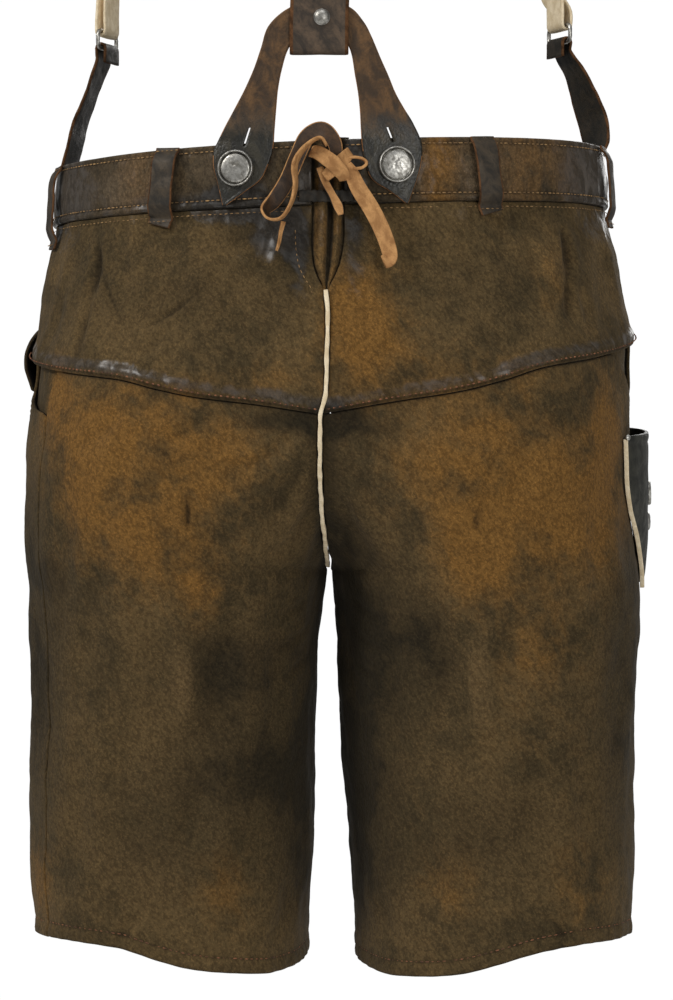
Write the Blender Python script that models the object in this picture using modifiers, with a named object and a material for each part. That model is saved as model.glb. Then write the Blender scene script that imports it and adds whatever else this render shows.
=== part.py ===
"""Knee-length suede lederhosen with leather braces, standing in the shape they have when worn.

Metres, +Z up. -Y is the seat side, +Y the front, +X the wearer's right. The origin is the middle
of the waistband ring. Tables and local sizes are in millimetres, and MM turns them into metres.
"""
import bisect
import math
from functools import lru_cache

import bpy
from mathutils import Matrix, Vector

MM = 0.001
GAP = 0.3                 # left between pieces that touch
SET_BACK = 0.25           # how far each panel's edge stops short of its seam
WALL = 1.8                # suede of the body panels
BAND_WALL = 3.0           # the waistband is two layers
STRAP_WALL = 1.8
WISHBONE_WALL = 2.4
WAIST_TOP = 18.0
WAIST_BOTTOM = -18.0
BACK_RISE = 2.0           # the band's top edge is cut this much higher behind
RISE_SPREAD = {-1: 140.0, 1: 220.0}
CROTCH = -235.0
HALF_WAIST = 170.0
BAND_RAISE = 2.0          # how far the waistband's face stands outside the body surface
YOKE_RAISE = 1.3          # the same for the yoke's lower edge, which laps over the leg
PIPING_WIDTH = 2.2
LACE_RADIUS = 2.4         # round cord of the flat thong's own section area
BACK_BUTTON = 10.8        # radii of the buttons
FLAP_BUTTON = 9.0
POCKET_BUTTON = 7.5

# Body levels: height, half width at the side, how far both sides sit to the right, depth behind,
# depth in front, where the leg's middle lies across, and squareness (2 is an ellipse).
BODY = [
    (18, 167.0, 0.4, 122, 112, 0, 2.3),
    (-18, 169.5, 0.5, 124, 113, 0, 2.3),
    (-50, 176.2, 1.3, 129, 115, 12, 2.35),
    (-83, 180.8, 1.5, 134, 117, 30, 2.4),
    (-100, 184.4, 1.8, 136, 118, 42, 2.45),
    (-130, 184.6, 0.3, 138, 118, 58, 2.5),
    (-165, 185.5, -1.4, 139, 118, 75, 2.5),
    (-195, 186.4, -1.6, 137, 117, 85, 2.5),
    (-222, 187.5, 0.6, 133, 115, 92, 2.5),
    (-245, 187.4, 2.9, 128, 113, 95, 2.5),
    (-285, 186.7, 2.4, 120, 110, 97, 2.5),
    (-350, 185.4, 1.3, 112, 106, 98, 2.5),
    (-410, 185.9, 1.1, 107, 102, 99, 2.5),
    (-445, 184.0, 1.6, 105, 101, 100, 2.5),
    (-480, 183.6, 2.2, 104, 100, 100, 2.5),
]
# Half distance between the left and right halves behind: the laced opening, the piping's seam,
# then the gap between the legs.
BACK_EDGE = [
    (18, 9.5), (-20, 9.5), (-38, 9.7), (-52, 8.2), (-62, 4.6), (-68, 1.6), (-228, 1.6), (-236, 1.9),
    (-254, 4.2), (-285, 6.0), (-316, 6.9), (-347, 8.4), (-378, 10.0), (-409, 11.5), (-440, 14.0),
    (-480, 14.6),
]
# The same in front: a plain centre seam down to the crotch.
FRONT_EDGE = [(18, 0.25), (-210, 0.25), (-228, 1.6)] + BACK_EDGE[7:]
SEAT_BREAK = -130.0       # below this height the centre seams start to run in to the crotch
FRONT_BREAK = -120.0
# How far the middle line wanders to the wearer's right (negative is left).
CENTRE_DRIFT = [
    (18, -1.0), (-30, -1.0), (-68, -2.3), (-84, -1.2), (-128, -2.3), (-143, -5.3), (-165, -5.8),
    (-189, -5.3), (-221, -2.3), (-238, -0.9), (-300, -1.8), (-347, -1.5), (-378, 0.0), (-409, 0.9),
    (-480, 0.9),
]
# The garment hangs lower on the wearer's left: height, and lift at the right side seam.
SIDE_LIFT = [(18, 6.0), (-100, 5.2), (-200, 1.0), (-480, -2.0)]
# The yoke seam: distance round the body from the centre of the back, and height.
YOKE_SEAM = [(0, -141.5), (40, -135.0), (76, -130.0), (100, -124.5), (125, -117.5), (165, -112.0),
             (205, -106.0), (260, -98.0)]
# The hems: distance round the leg from the inseam, and height.
BACK_HEM = {
    -1: [(0, -466), (40, -472), (85, -475), (120, -473), (140, -470.3), (160, -465.3), (180, -459.5),
         (200, -457), (230, -455.8), (310, -456)],
    1: [(0, -466), (44, -472.5), (85, -475.5), (110, -474.5), (130, -472.3), (155, -466), (171, -461),
        (187, -457.5), (212, -454.5), (245, -454.3), (310, -456)],
}
FRONT_HEM = [(0, -466), (150, -463), (300, -457), (400, -456)]
# Side seams, as distance from the side line (negative is behind): the leg's edge and the front's.
LEG_SIDE = {
    -1: [(-104, -95), (-122, -89), (-138, -85.5), (-152, -87), (-252, -84), (-372, -75), (-480, -68)],
    1: [(-98, -92), (-106, -87), (-128, -45), (-152, -4), (-480, -4)],
}
FRONT_SIDE = {
    -1: [(-98, 2), (-120, 2), (-128, -30), (-138, -84.5), (-152, -86.5), (-252, -83.5), (-372, -74.5),
         (-480, -67.5)],
    1: [(-94, 2), (-144, 2), (-154, -3.6), (-480, -3.6)],
}
YOKE_SIDE = 2.0
# The facing behind each side pocket's corner: height, rear edge and front edge from the side line.
FACING = {
    -1: [(-97, -101, 7), (-108, -101, 7), (-118, -98, 4), (-127, -95, -12), (-136, -93, -56),
         (-146, -93, -74)],
    1: [(-92, -97, 8), (-106, -94, 8), (-122, -66, 8), (-136, -42, 7), (-148, -22, 6), (-156, -12, 4)],
}
FACING_DEPTH = 2.2        # how far the facing lies under the panels
# Large soft folds: which half, height, distance from the side, half length, half width, depth,
# and lean from the vertical in degrees (positive leans outwards going down).
FOLDS = [
    (-1, -70, -72, 42, 7, 1.6, 12),
    (-1, -62, -190, 46, 8, 1.5, -32),
    (1, -62, -62, 40, 7, 1.5, -6),
    (-1, -175, -158, 46, 9, 1.4, 18),
    (1, -175, -165, 46, 9, 1.4, -18),
    (-1, -430, -205, 34, 12, 1.5, 20),
    (1, -432, -200, 34, 12, 1.5, -24),
    (-1, -300, -70, 90, 16, 1.6, 4),
    (1, -310, -80, 90, 16, 1.6, -4),
    (-1, -180, 90, 60, 10, 1.8, 24),
    (1, -185, 95, 60, 10, 1.8, -22),
]


# ---- curves and the body's surface -------------------------------------------------------------

def smooth(rows, key, column=1):
    """Value of a column at a key, on a curve through the rows that never overshoots them."""
    rows = sorted(rows)
    keys = [row[0] for row in rows]
    if key <= keys[0]:
        return rows[0][column]
    if key >= keys[-1]:
        return rows[-1][column]
    at = bisect.bisect_right(keys, key) - 1

    def chord(i):
        return (rows[i + 1][column] - rows[i][column]) / (keys[i + 1] - keys[i])

    def slope(i):
        if i == 0:
            return chord(0)
        if i == len(rows) - 1:
            return chord(i - 1)
        before, after = chord(i - 1), chord(i)
        return 0.0 if before * after <= 0 else 2 * before * after / (before + after)

    width = keys[at + 1] - keys[at]
    t = (key - keys[at]) / width
    return ((1 + 2 * t) * (1 - t) ** 2 * rows[at][column] + t * (1 - t) ** 2 * width * slope(at)
            + t * t * (3 - 2 * t) * rows[at + 1][column] + t * t * (t - 1) * width * slope(at + 1))


def rise_share(z, break_height):
    """How much of the full depth the centre seam still has, as it runs in under the crotch."""
    if z >= break_height:
        return 1.0
    if z <= CROTCH:
        return 0.0
    way = (break_height - z) / (break_height - CROTCH)
    return (1 - way ** 2.2) ** (1 / 2.2)


@lru_cache(maxsize=None)
def outline(z):
    """Half section at height z, from the back edge to the front edge, on the wearer's right.

    Returns the points and the distance of each from the side line, negative behind it."""
    side, _, back, front, leg_mid, power = (smooth(BODY, z, column) for column in range(1, 7))
    halves = []
    for sign, depth, edges, break_height in ((-1, back, BACK_EDGE, SEAT_BREAK),
                                             (1, front, FRONT_EDGE, FRONT_BREAK)):
        edge = smooth(edges, z)
        steps = 28
        stop = math.pi / 2
        if leg_mid < edge:
            stop = math.acos(((edge - leg_mid) / (side - leg_mid)) ** (power / 2))
        curve = []
        for i in range(steps + 1):
            angle = stop * i / steps
            curve.append(Vector((leg_mid + (side - leg_mid) * math.cos(angle) ** (2 / power),
                                 sign * depth * math.sin(angle) ** (2 / power))))
        if leg_mid > edge:
            share = rise_share(z, break_height)
            if share > 0.999:
                curve.append(Vector((edge, sign * depth)))
            else:
                last = math.asin(share ** (power / 2))
                reach = (leg_mid - edge) / math.cos(last) ** (2 / power)
                for i in range(1, steps + 1):
                    angle = math.pi / 2 + (last - math.pi / 2) * i / steps
                    curve.append(Vector((leg_mid - reach * max(math.cos(angle), 0.0) ** (2 / power),
                                         sign * depth * math.sin(angle) ** (2 / power))))
        lengths = [0.0]
        for a, b in zip(curve, curve[1:]):
            lengths.append(lengths[-1] + (b - a).length)
        halves.append((curve, lengths))
    (behind, behind_lengths), (ahead, ahead_lengths) = halves
    points = behind[::-1] + ahead[1:]
    distances = [-d for d in behind_lengths[::-1]] + ahead_lengths[1:]
    return points, distances


def back_reach(z):
    """Distance round from the back edge to the side line."""
    return -outline(z)[1][0]


def front_reach(z):
    return outline(z)[1][-1]


def bare(hand, z, along):
    """Point of the unfolded body surface: hand is 1 on the right, along is measured from the side."""
    points, distances = outline(z)
    along = min(max(along, distances[0]), distances[-1])
    at = min(max(bisect.bisect_right(distances, along) - 1, 0), len(points) - 2)
    span = distances[at + 1] - distances[at]
    x, y = points[at].lerp(points[at + 1], (along - distances[at]) / span if span else 0.0)
    behind = min(max(-y / 40, 0.0), 1.0)
    below = min(max((CROTCH + 10 - z) / 40, 0.0), 1.0)
    drift = smooth(CENTRE_DRIFT, z) * math.exp(-(x / 60) ** 2) * max(behind, below)
    x = hand * x + drift + smooth(BODY, z, 2) * (x / 185) ** 2
    return Vector((x, y, z + smooth(SIDE_LIFT, z) * x / HALF_WAIST))


def fold_height(hand, z, along):
    total = 0.0
    for side, fold_z, fold_along, half_length, half_width, depth, lean in FOLDS:
        if side != hand:
            continue
        down = fold_z - z
        out = along - fold_along
        turn = math.radians(lean)
        lengthwise = (down * math.cos(turn) + out * math.sin(turn)) / half_length
        across = (out * math.cos(turn) - down * math.sin(turn)) / half_width
        if abs(lengthwise) < 1.6 and abs(across) < 3:
            ridge = math.exp(-(across - 1) ** 2) - math.exp(-across ** 2)
            total += depth * ridge * math.exp(-lengthwise ** 2 * 1.5)
    return total


def skin(hand, z, along, out=0.0):
    """Point of the garment's surface, moved out along its normal."""
    point = bare(hand, z, along)
    lift = out + fold_height(hand, z, along)
    if abs(lift) < 0.01:
        return point
    round_way = bare(hand, z, along + 1.5) - bare(hand, z, along - 1.5)
    up_way = bare(hand, z + 1.5, along) - bare(hand, z - 1.5, along)
    return point + round_way.cross(up_way).normalized() * hand * lift


def outward(hand, z, along):
    return (skin(hand, z, along, 5.0) - skin(hand, z, along, 0.0)).normalized()


def curve_through(points, spacing):
    """Evenly spaced points on a smooth curve through the given ones (Catmull-Rom)."""
    dense = []
    ends = [points[0] * 2 - points[1]] + points + [points[-1] * 2 - points[-2]]
    for a, b, c, d in zip(ends, ends[1:], ends[2:], ends[3:]):
        for i in range(12):
            t = i / 12
            dense.append(0.5 * (2 * b + (c - a) * t + (2 * a - 5 * b + 4 * c - d) * t * t
                                + (3 * b - a - 3 * c + d) * t ** 3))
    dense.append(points[-1])
    lengths = [0.0]
    for a, b in zip(dense, dense[1:]):
        lengths.append(lengths[-1] + (b - a).length)
    count = max(2, round(lengths[-1] / spacing))
    result = []
    for i in range(count + 1):
        wanted = lengths[-1] * i / count
        at = min(bisect.bisect_right(lengths, wanted) - 1, len(dense) - 2)
        span = lengths[at + 1] - lengths[at]
        result.append(dense[at].lerp(dense[at + 1], (wanted - lengths[at]) / span if span else 0.0))
    return result


# ---- collections, materials and makers ---------------------------------------------------------

for thing in list(bpy.data.objects):
    bpy.data.objects.remove(thing)
parts = bpy.data.collections.new("lederhosen")
cutters = bpy.data.collections.new("cutters")
bpy.context.scene.collection.children.link(parts)
bpy.context.scene.collection.children.link(cutters)


def finish_of(name, red, green, blue, roughness, metallic=0.0):
    """A Principled material; the colour is given in display values from 0 to 255."""
    material = bpy.data.materials.new(name)
    material.use_nodes = True
    shader = material.node_tree.nodes["Principled BSDF"]
    linear = [((c / 255 + 0.055) / 1.055) ** 2.4 for c in (red, green, blue)]
    shader.inputs["Base Color"].default_value = (*linear, 1)
    shader.inputs["Roughness"].default_value = roughness
    shader.inputs["Metallic"].default_value = metallic
    return material


def new_object(name, mesh, material):
    thing = bpy.data.objects.new(name, mesh)
    mesh.materials.append(material)
    parts.objects.link(thing)
    return thing


def sheet(name, rows, wall, material, inwards=True):
    """A wall through rows of surface points (mm), thickened inwards or to both sides.

    Seen from outside, each row runs to the right and the rows run down."""
    mesh = bpy.data.meshes.new(name)
    columns = len(rows[0])
    faces = []
    for r in range(len(rows) - 1):
        for c in range(columns - 1):
            first = r * columns + c
            faces.append((first, first + columns, first + columns + 1, first + 1))
    mesh.from_pydata([point * MM for row in rows for point in row], [], faces)
    thing = new_object(name, mesh, material)
    thicken = thing.modifiers.new("wall", "SOLIDIFY")
    thicken.thickness = wall * MM
    thicken.offset = -1 if inwards else 0
    mesh.shade_smooth()
    return thing


def ribbon(name, path, across_hints, widths, wall, material):
    """A flat strap along a path: the hints turn with the path and set which way its width lies."""
    rows = []
    for i, point in enumerate(path):
        along = (path[min(i + 1, len(path) - 1)] - path[max(i - 1, 0)]).normalized()
        across = across_hints[i] - along * across_hints[i].dot(along)
        across = across.normalized() * widths[i] / 2
        rows.append([point - across, point, point + across])
    return sheet(name, rows, wall, material, inwards=False)


def turned(name, profile, steps, material, place, axis):
    """A turned piece: profile rows are radius and height, down its outer side; axis is its +Z."""
    mesh = bpy.data.meshes.new(name)
    mesh.from_pydata([(radius * MM, 0, height * MM) for radius, height in profile],
                     [(i, i + 1) for i in range(len(profile) - 1)], [])
    thing = new_object(name, mesh, material)
    spin = thing.modifiers.new("turn", "SCREW")
    spin.steps = steps
    spin.render_steps = steps
    spin.use_merge_vertices = True
    spin.merge_threshold = 0.00001
    spin.use_smooth_shade = True
    thing.matrix_world = Matrix.Translation(place * MM) @ axis.to_track_quat("Z", "Y").to_matrix().to_4x4()
    return thing


def cord(name, points, radius, material, closed=False, resolution=2):
    line = bpy.data.curves.new(name, "CURVE")
    line.dimensions = "3D"
    line.bevel_depth = radius * MM
    line.bevel_resolution = resolution
    line.use_fill_caps = not closed
    spline = line.splines.new("POLY")
    spline.points.add(len(points) - 1)
    for target, point in zip(spline.points, points):
        target.co = (*(point * MM), 1)
    spline.use_cyclic_u = closed
    spline.use_smooth = True
    return new_object(name, line, material)


SUEDE = finish_of("brown_suede", 88, 66, 40, 0.9)
WAXED = finish_of("waxed_suede", 70, 60, 50, 0.5)
DARK_LEATHER = finish_of("dark_leather", 62, 50, 42, 0.45)
CREAM = finish_of("cream_leather", 205, 185, 150, 0.7)
TAN = finish_of("tan_thong", 165, 115, 70, 0.75)
POCKET = finish_of("pocket_leather", 62, 64, 62, 0.5)
SILVER = finish_of("old_silver", 170, 168, 160, 0.35, 1.0)


# ---- seat yoke, leg panels and side facings ----------------------------------------------------

def seam_spot(side_limit, share):
    """Height and distance of the yoke seam, that share of the way from the back to the side."""
    z = -120.0
    for _ in range(8):
        along = -back_reach(z) + (back_reach(z) + side_limit(z)) * share
        z = smooth(YOKE_SEAM, along + back_reach(z))
    return z, along


def ordered(hand, rows):
    """Rows that run outwards from the centre run left to right only on the right half's back."""
    return rows if hand > 0 else [row[::-1] for row in rows]


def yoke_out(z, seam_z):
    """The yoke's face lies level with the body at the waist and stands proud at its lower edge."""
    way = (WAIST_BOTTOM - z) / (WAIST_BOTTOM - seam_z)
    return 0.2 + (YOKE_RAISE - 0.2) * min(max(way, 0.0), 1.0) ** 2


def between(start, stop, share):
    return start + (stop - start) * share


# The leg panel's rows between the yoke seam and the crotch, as shares of the way down.
LEG_LEVELS = (0, 0.07, 0.15, 0.24, 0.36, 0.52, 0.74, 1)

for hand, side in ((-1, "left"), (1, "right")):
    columns, levels = 15, 9
    rows = []
    for level in range(levels + 1):
        row = []
        for column in range(columns + 1):
            share = column / columns
            seam_z, _ = seam_spot(lambda z: YOKE_SIDE, share)
            top = WAIST_BOTTOM - GAP
            z = top + (seam_z + SET_BACK - top) * level / levels
            along = between(-back_reach(z), YOKE_SIDE - SET_BACK, share)
            row.append(skin(hand, z, along, yoke_out(z, seam_z)))
        rows.append(row)
    sheet("seat_yoke_" + side, ordered(hand, rows), WALL, SUEDE)

    def leg_limit(z):
        return smooth(LEG_SIDE[hand], z) - SET_BACK

    def back_start(z):
        return -back_reach(z) + (0.2 if z <= CROTCH else 0.0)

    columns = 15
    rows = []
    for way in LEG_LEVELS:
        row = []
        for column in range(columns + 1):
            share = column / columns
            seam_z, _ = seam_spot(leg_limit, share)
            z = seam_z - SET_BACK + (CROTCH - seam_z + SET_BACK) * way
            row.append(skin(hand, z, between(back_start(z), leg_limit(z), share)))
        rows.append(row)
    for level in range(1, 9):
        row = []
        for column in range(columns + 1):
            share = column / columns
            hem = smooth(BACK_HEM[hand], (back_reach(-465.0) + leg_limit(-465.0)) * share)
            z = CROTCH + (hem - CROTCH) * level / 8
            row.append(skin(hand, z, between(back_start(z), leg_limit(z), share)))
        rows.append(row)
    sheet("back_leg_" + side, ordered(hand, rows), WALL, SUEDE)

    def front_start(z):
        return smooth(FRONT_SIDE[hand], z) + SET_BACK

    def front_stop(z):
        return front_reach(z) - (0.2 if z <= CROTCH else 0.0)

    heights = [WAIST_BOTTOM - GAP, -60, -100, -124, -134, -143, -170, -205, -225, CROTCH]
    rows = []
    columns = 14
    for z in heights:
        rows.append([skin(hand, z, between(front_start(z), front_stop(z), column / columns))
                     for column in range(columns + 1)])
    for level in range(1, 8):
        row = []
        for column in range(columns + 1):
            share = column / columns
            hem = smooth(FRONT_HEM, (front_reach(-465.0) - front_start(-465.0)) * (1 - share))
            z = CROTCH + (hem - CROTCH) * level / 7
            row.append(skin(hand, z, between(front_start(z), front_stop(z), share)))
        rows.append(row)
    sheet("front_leg_" + side, ordered(hand, rows), WALL, SUEDE)

    # The facing lies under the corner where the yoke, the leg and the front meet.
    rows = []
    for z, rear, ahead in FACING[hand]:
        rows.append([skin(hand, z, between(rear, ahead, column / 9), -WALL - FACING_DEPTH)
                     for column in range(10)])
    sheet("side_facing_" + side, ordered(hand, rows), WALL, SUEDE)


# ---- waistband, flap, gusset and piping --------------------------------------------------------

for hand, side in ((-1, "left"), (1, "right")):
    rows = []
    columns = 30
    for z in (WAIST_TOP, 9.0, -9.0, WAIST_BOTTOM):
        row = [skin(hand, z, between(-back_reach(z), front_reach(z), column / columns), BAND_RAISE)
               for column in range(columns + 1)]
        if z == WAIST_TOP:
            for point in row:
                if point.y < 0:
                    point.z += BACK_RISE * max(0.0, 1 - (point.x / RISE_SPREAD[hand]) ** 2)
        rows.append(row)
    sheet("waistband_" + side, ordered(hand, rows), BAND_WALL, WAXED)

# Flap rows: height, half width, distance outside the body surface.
FLAP = [(22, 96, 4.4), (10, 97, 4.4), (-18, 98, 4.4), (-50, 98, 3.6), (-90, 96, 3.2), (-118, 86, 3.2),
        (-132, 60, 3.0)]
rows = []
for z, half_width, out in FLAP:
    row = []
    for column in range(13):
        across = half_width * (column / 6 - 1)
        hand = 1 if across >= 0 else -1
        row.append(skin(hand, z, front_reach(z) - abs(across), out))
    rows.append(row[::-1])
sheet("front_flap", rows, WALL, SUEDE)

# Gusset rows: height, how far the two soft folds stand out of the opening.
GUSSET = [(15, 2.0), (0, 3.0), (-18, 4.2), (-34, 4.6), (-48, 3.8), (-58, 2.0), (-66, 0.5), (-73, 0.0)]
# Across the opening: place as a share of the half opening, and share of the fold height.
GUSSET_FOLDS = [(-0.9, 0.0), (-0.68, 0.62), (-0.36, 1.0), (0.0, 0.75), (0.16, 0.0), (0.34, 0.7), (0.56, 0.85),
                (0.76, 0.45), (0.9, 0.0)]
GUSSET_TUCK = 3.0
rows = []
for z, height in GUSSET:
    opening = max(smooth(BACK_EDGE, z), 3.0)
    depth = smooth(BODY, z, 3)
    drift = smooth(CENTRE_DRIFT, z)
    behind = -(depth - BAND_WALL - GAP) if z > -10 else -(depth - WALL - GAP - 0.5)
    row = [Vector((drift - opening - GUSSET_TUCK, behind, z))]
    for place, share in GUSSET_FOLDS:
        row.append(Vector((drift + (opening - 1.0) * place, behind - height * share, z)))
    row.append(Vector((drift + opening + GUSSET_TUCK, behind, z)))
    rows.append(row)
sheet("back_gusset", rows, 1.2, SUEDE)


def seam_line(z):
    """Middle of the centre-back seam."""
    left, right = bare(-1, z, -1000.0), bare(1, z, -1000.0)
    return (left + right) / 2


path = []
for level in range(25):
    way = level / 24
    z = -69.0 + (CROTCH + 1.5 + 69.0) * math.sin(math.pi / 2 * way ** 0.9)
    path.append(z)
centre = [seam_line(z) for z in path]
piping_path = []
for i, point in enumerate(centre):
    down = (centre[min(i + 1, 24)] - centre[max(i - 1, 0)]).normalized()
    out = Vector((1, 0, 0)).cross(down).normalized()
    piping_path.append(point + out * (0.2 if out.y < 0 else -0.2))
ribbon("seat_piping", piping_path, [Vector((1, 0, 0))] * 25, [PIPING_WIDTH] * 25, 3.0, CREAM)


# ---- belt loops --------------------------------------------------------------------------------

# Loop rows: name, half, distance from the side at the top and at the foot, top, foot, belt gap.
LOOPS = [
    ("belt_loop_left", -1, -138, -138, 19.5, -27.0, 5.6),
    ("belt_loop_right", 1, -144, -143, 19.5, -26.0, 5.6),
    ("belt_loop_left_side", -1, -37, -40, 17.0, -34.0, 4.2),
    ("belt_loop_right_side", 1, -34, -36, 18.0, -32.0, 4.2),
]
LOOP_WIDTH = 15.0
LOOP_WALL = 1.4
# Side view of a loop: share of its height from the foot, and share of the belt gap.
LOOP_SIDE = [(0, 0), (0.1, 0), (0.17, 0.5), (0.26, 0.92), (0.45, 1), (0.65, 1), (0.8, 0.95), (0.9, 0.6),
             (0.96, 0.1), (1, 0)]
for name, hand, top_along, foot_along, top, foot, belt_gap in LOOPS:
    rows = []
    for share, gap_share in LOOP_SIDE[::-1]:
        z = foot + (top - foot) * share
        along = foot_along + (top_along - foot_along) * share
        out = BAND_RAISE + GAP + LOOP_WALL / 2 + belt_gap * gap_share
        if z < WAIST_BOTTOM - 4 and gap_share == 0:
            out -= 0.4
        rows.append([skin(hand, z, along + LOOP_WIDTH * (column / 3 - 0.5), out) for column in range(4)])
    sheet(name, ordered(hand, rows), LOOP_WALL, WAXED, inwards=False)


# ---- braces: wishbone, back strap, Y piece, shoulder straps, rings and tabs --------------------

LEAN = 0.025              # the braces lean back this much for each unit of height


def rear_face(x, z):
    """Mid face of the wishbone: bent round the waistband, and flatter and leaning back above it."""
    side, depth, power = (smooth(BODY, z, column) for column in (1, 3, 6))
    flat = min(max((z - 20) / 70, 0.0), 1.0)
    bent = abs(x) * (1 - 0.75 * flat)
    bow = depth * (1 - (bent / side) ** power) ** (1 / power)
    slope = (depth / side) * (bent / side) ** (power - 1)
    out = (BAND_RAISE + GAP + 0.2 + WISHBONE_WALL / 2) * math.sqrt(1 + slope * slope)
    return Vector((x, -bow - out - LEAN * max(z - WAIST_TOP, 0), z))


# The wishbone from the left tab's point, over the arch, to the right tab's point:
# outer edge across and height, inner edge across and height.
WISHBONE = [
    (-63.0, -18.4, -60.6, -18.6),
    (-66.2, -4.4, -49.5, -10.6),
    (-68.4, 4.4, -40.6, -3.8),
    (-68.4, 13.2, -36.3, 4.4),
    (-66.1, 18.6, -33.3, 13.2),
    (-61.4, 27.8, -32.2, 27.0),
    (-55.6, 38.3, -31.2, 39.0),
    (-49.7, 49.4, -30.2, 49.4),
    (-44.5, 61.1, -28.2, 60.0),
    (-40.4, 72.8, -24.8, 71.5),
    (-35.7, 86.3, -19.5, 79.5),
    (-23.4, 96.8, -13.5, 83.5),
    (-6.0, 101.5, -6.0, 84.5),
    (11.1, 97.4, 1.6, 83.5),
    (19.9, 88.6, 7.8, 79.5),
    (24.6, 79.8, 12.4, 71.0),
    (29.8, 67.5, 14.8, 57.5),
    (34.5, 57.0, 16.6, 47.0),
    (38.6, 47.1, 17.7, 36.5),
    (43.9, 37.7, 18.2, 26.5),
    (49.0, 29.5, 18.8, 17.2),
    (54.0, 18.0, 20.2, 9.1),
    (53.8, 6.5, 24.4, -3.2),
    (50.9, -4.4, 35.2, -10.6),
    (46.4, -17.4, 44.4, -17.6),
]
rows = []
for outer_x, outer_z, inner_x, inner_z in WISHBONE:
    row = []
    for column in range(6):
        share = column / 5
        row.append(rear_face(outer_x + (inner_x - outer_x) * share, outer_z + (inner_z - outer_z) * share))
    rows.append(row)
wishbone = sheet("wishbone", rows, WISHBONE_WALL, DARK_LEATHER, inwards=False)

# The long slits that the back buttons pass through: top and foot, across and height.
for slit_x, slit_z, foot_x, foot_z in ((-46.6, 27.5, -50.8, 14.6), (33.6, 27.5, 37.4, 17.8)):
    top, foot = rear_face(slit_x, slit_z), rear_face(foot_x, foot_z)
    bpy.ops.mesh.primitive_cube_add(size=1)
    cutter = bpy.context.object
    cutter.name = "slit_cutter"
    for collection in list(cutter.users_collection):
        collection.objects.unlink(cutter)
    cutters.objects.link(cutter)
    cutter.hide_render = True
    cutter.display_type = "WIRE"
    down = (foot - top)
    turn = (-down).to_track_quat("Z", "Y").to_matrix().to_4x4()
    size = Matrix.Diagonal((0.0008, 0.012, down.length * MM, 1))
    cutter.matrix_world = Matrix.Translation((top + foot) / 2 * MM) @ turn @ size
    cut = wishbone.modifiers.new("slit", "BOOLEAN")
    cut.operation = "DIFFERENCE"
    cut.object = cutter

STRAP_MID = -6.2          # the back strap hangs a little to the left
STRAP_WIDTH = 34.5
FOLD_RADIUS = 2.6
FOLD_FOOT = 72.4


def strap_point(height, offset):
    """Point of the back strap: offset is towards the seat side from the wishbone's mid face."""
    face = rear_face(STRAP_MID, 85.0)
    lean_y = face.y - LEAN * (height - 85.0)
    return Vector((STRAP_MID * min(1.0, max(0.0, (250 - height) / 160)), lean_y - offset, height))


path = [strap_point(height, FOLD_RADIUS) for height in (246, 215, 180, 145, 115, 100, 88, 80)]
for i in range(7):
    angle = math.pi * i / 6
    centre = strap_point(FOLD_FOOT, 0.0)
    path.append(centre + Vector((0, -math.cos(angle), -math.sin(angle))) * FOLD_RADIUS)
path += [strap_point(height, -FOLD_RADIUS) for height in (82, 94, 108, 122)]
ribbon("back_strap", path, [Vector((1, 0, 0))] * len(path), [STRAP_WIDTH] * len(path), STRAP_WALL,
       DARK_LEATHER)

rivet_place = strap_point(90.8, FOLD_RADIUS + STRAP_WALL / 2 + GAP) + Vector((1.6, 0, 0))
turned("strap_rivet", [(0, 2.2), (2.2, 1.9), (3.8, 1.1), (4.5, 0.3), (4.5, 0.0), (0, 0)], 20, SILVER,
       rivet_place, Vector((0, -1, 0)))

# The Y piece: outline across and height, counter-clockwise from the lower left.
Y_OUTLINE = [(-17, 232), (17, 232), (21, 240), (33, 276), (36, 292), (30, 297), (6, 290), (-6, 290),
             (-30, 297), (-36, 292), (-33, 276), (-21, 240)]
Y_WALL = 2.0
plate = bpy.data.curves.new("y_piece", "CURVE")
plate.dimensions = "2D"
plate.fill_mode = "BOTH"
plate.extrude = Y_WALL / 2 * MM
edge = plate.splines.new("POLY")
edge.points.add(len(Y_OUTLINE) - 1)
for target, (x, z) in zip(edge.points, Y_OUTLINE):
    target.co = (x * MM, z * MM, 0, 1)
edge.use_cyclic_u = True
y_piece = new_object("y_piece", plate, DARK_LEATHER)
y_face = strap_point(262, FOLD_RADIUS + STRAP_WALL / 2 + GAP + Y_WALL / 2 + 1.0).y
y_piece.matrix_world = Matrix.Translation((0, y_face * MM, 0)) @ Matrix.Rotation(math.pi / 2, 4, "X")

# Right shoulder strap from its ring up, over the shoulder and down to the Y piece:
# place, then which way its width lies.
SHOULDER = [
    (141, 50, 128, -0.45, 0.89, 0.0),
    (138, 60, 150, -0.55, 0.83, 0.0),
    (127, 86, 195, -0.85, 0.50, 0.0),
    (115, 100, 250, -0.97, 0.22, 0.0),
    (104, 98, 320, -1.0, 0.05, 0.0),
    (97, 78, 380, -1.0, 0.0, 0.0),
    (92, 40, 422, -1.0, 0.0, -0.05),
    (88, -5, 436, -1.0, 0.0, -0.08),
    (82, -55, 424, -1.0, 0.0, 0.0),
    (72, -98, 385, -1.0, 0.0, 0.1),
    (56, -124, 338, -1.0, 0.0, 0.3),
    (37, -131, 296, -0.9, 0.0, 0.45),
    (17, -131, 261, -0.86, 0.0, 0.5),
]
RING_WIRE = 1.3
RING_HALF = (14.5, 5.5)       # half width and half height of the ring's wire line
RING_CORNER = 4.0
# Each ring: across, forward, height, and how far its face turns forward from sideways, degrees.
RINGS = {-1: (-141, 46, 98.5, 20), 1: (145, 46, 102.5, 24)}
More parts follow.
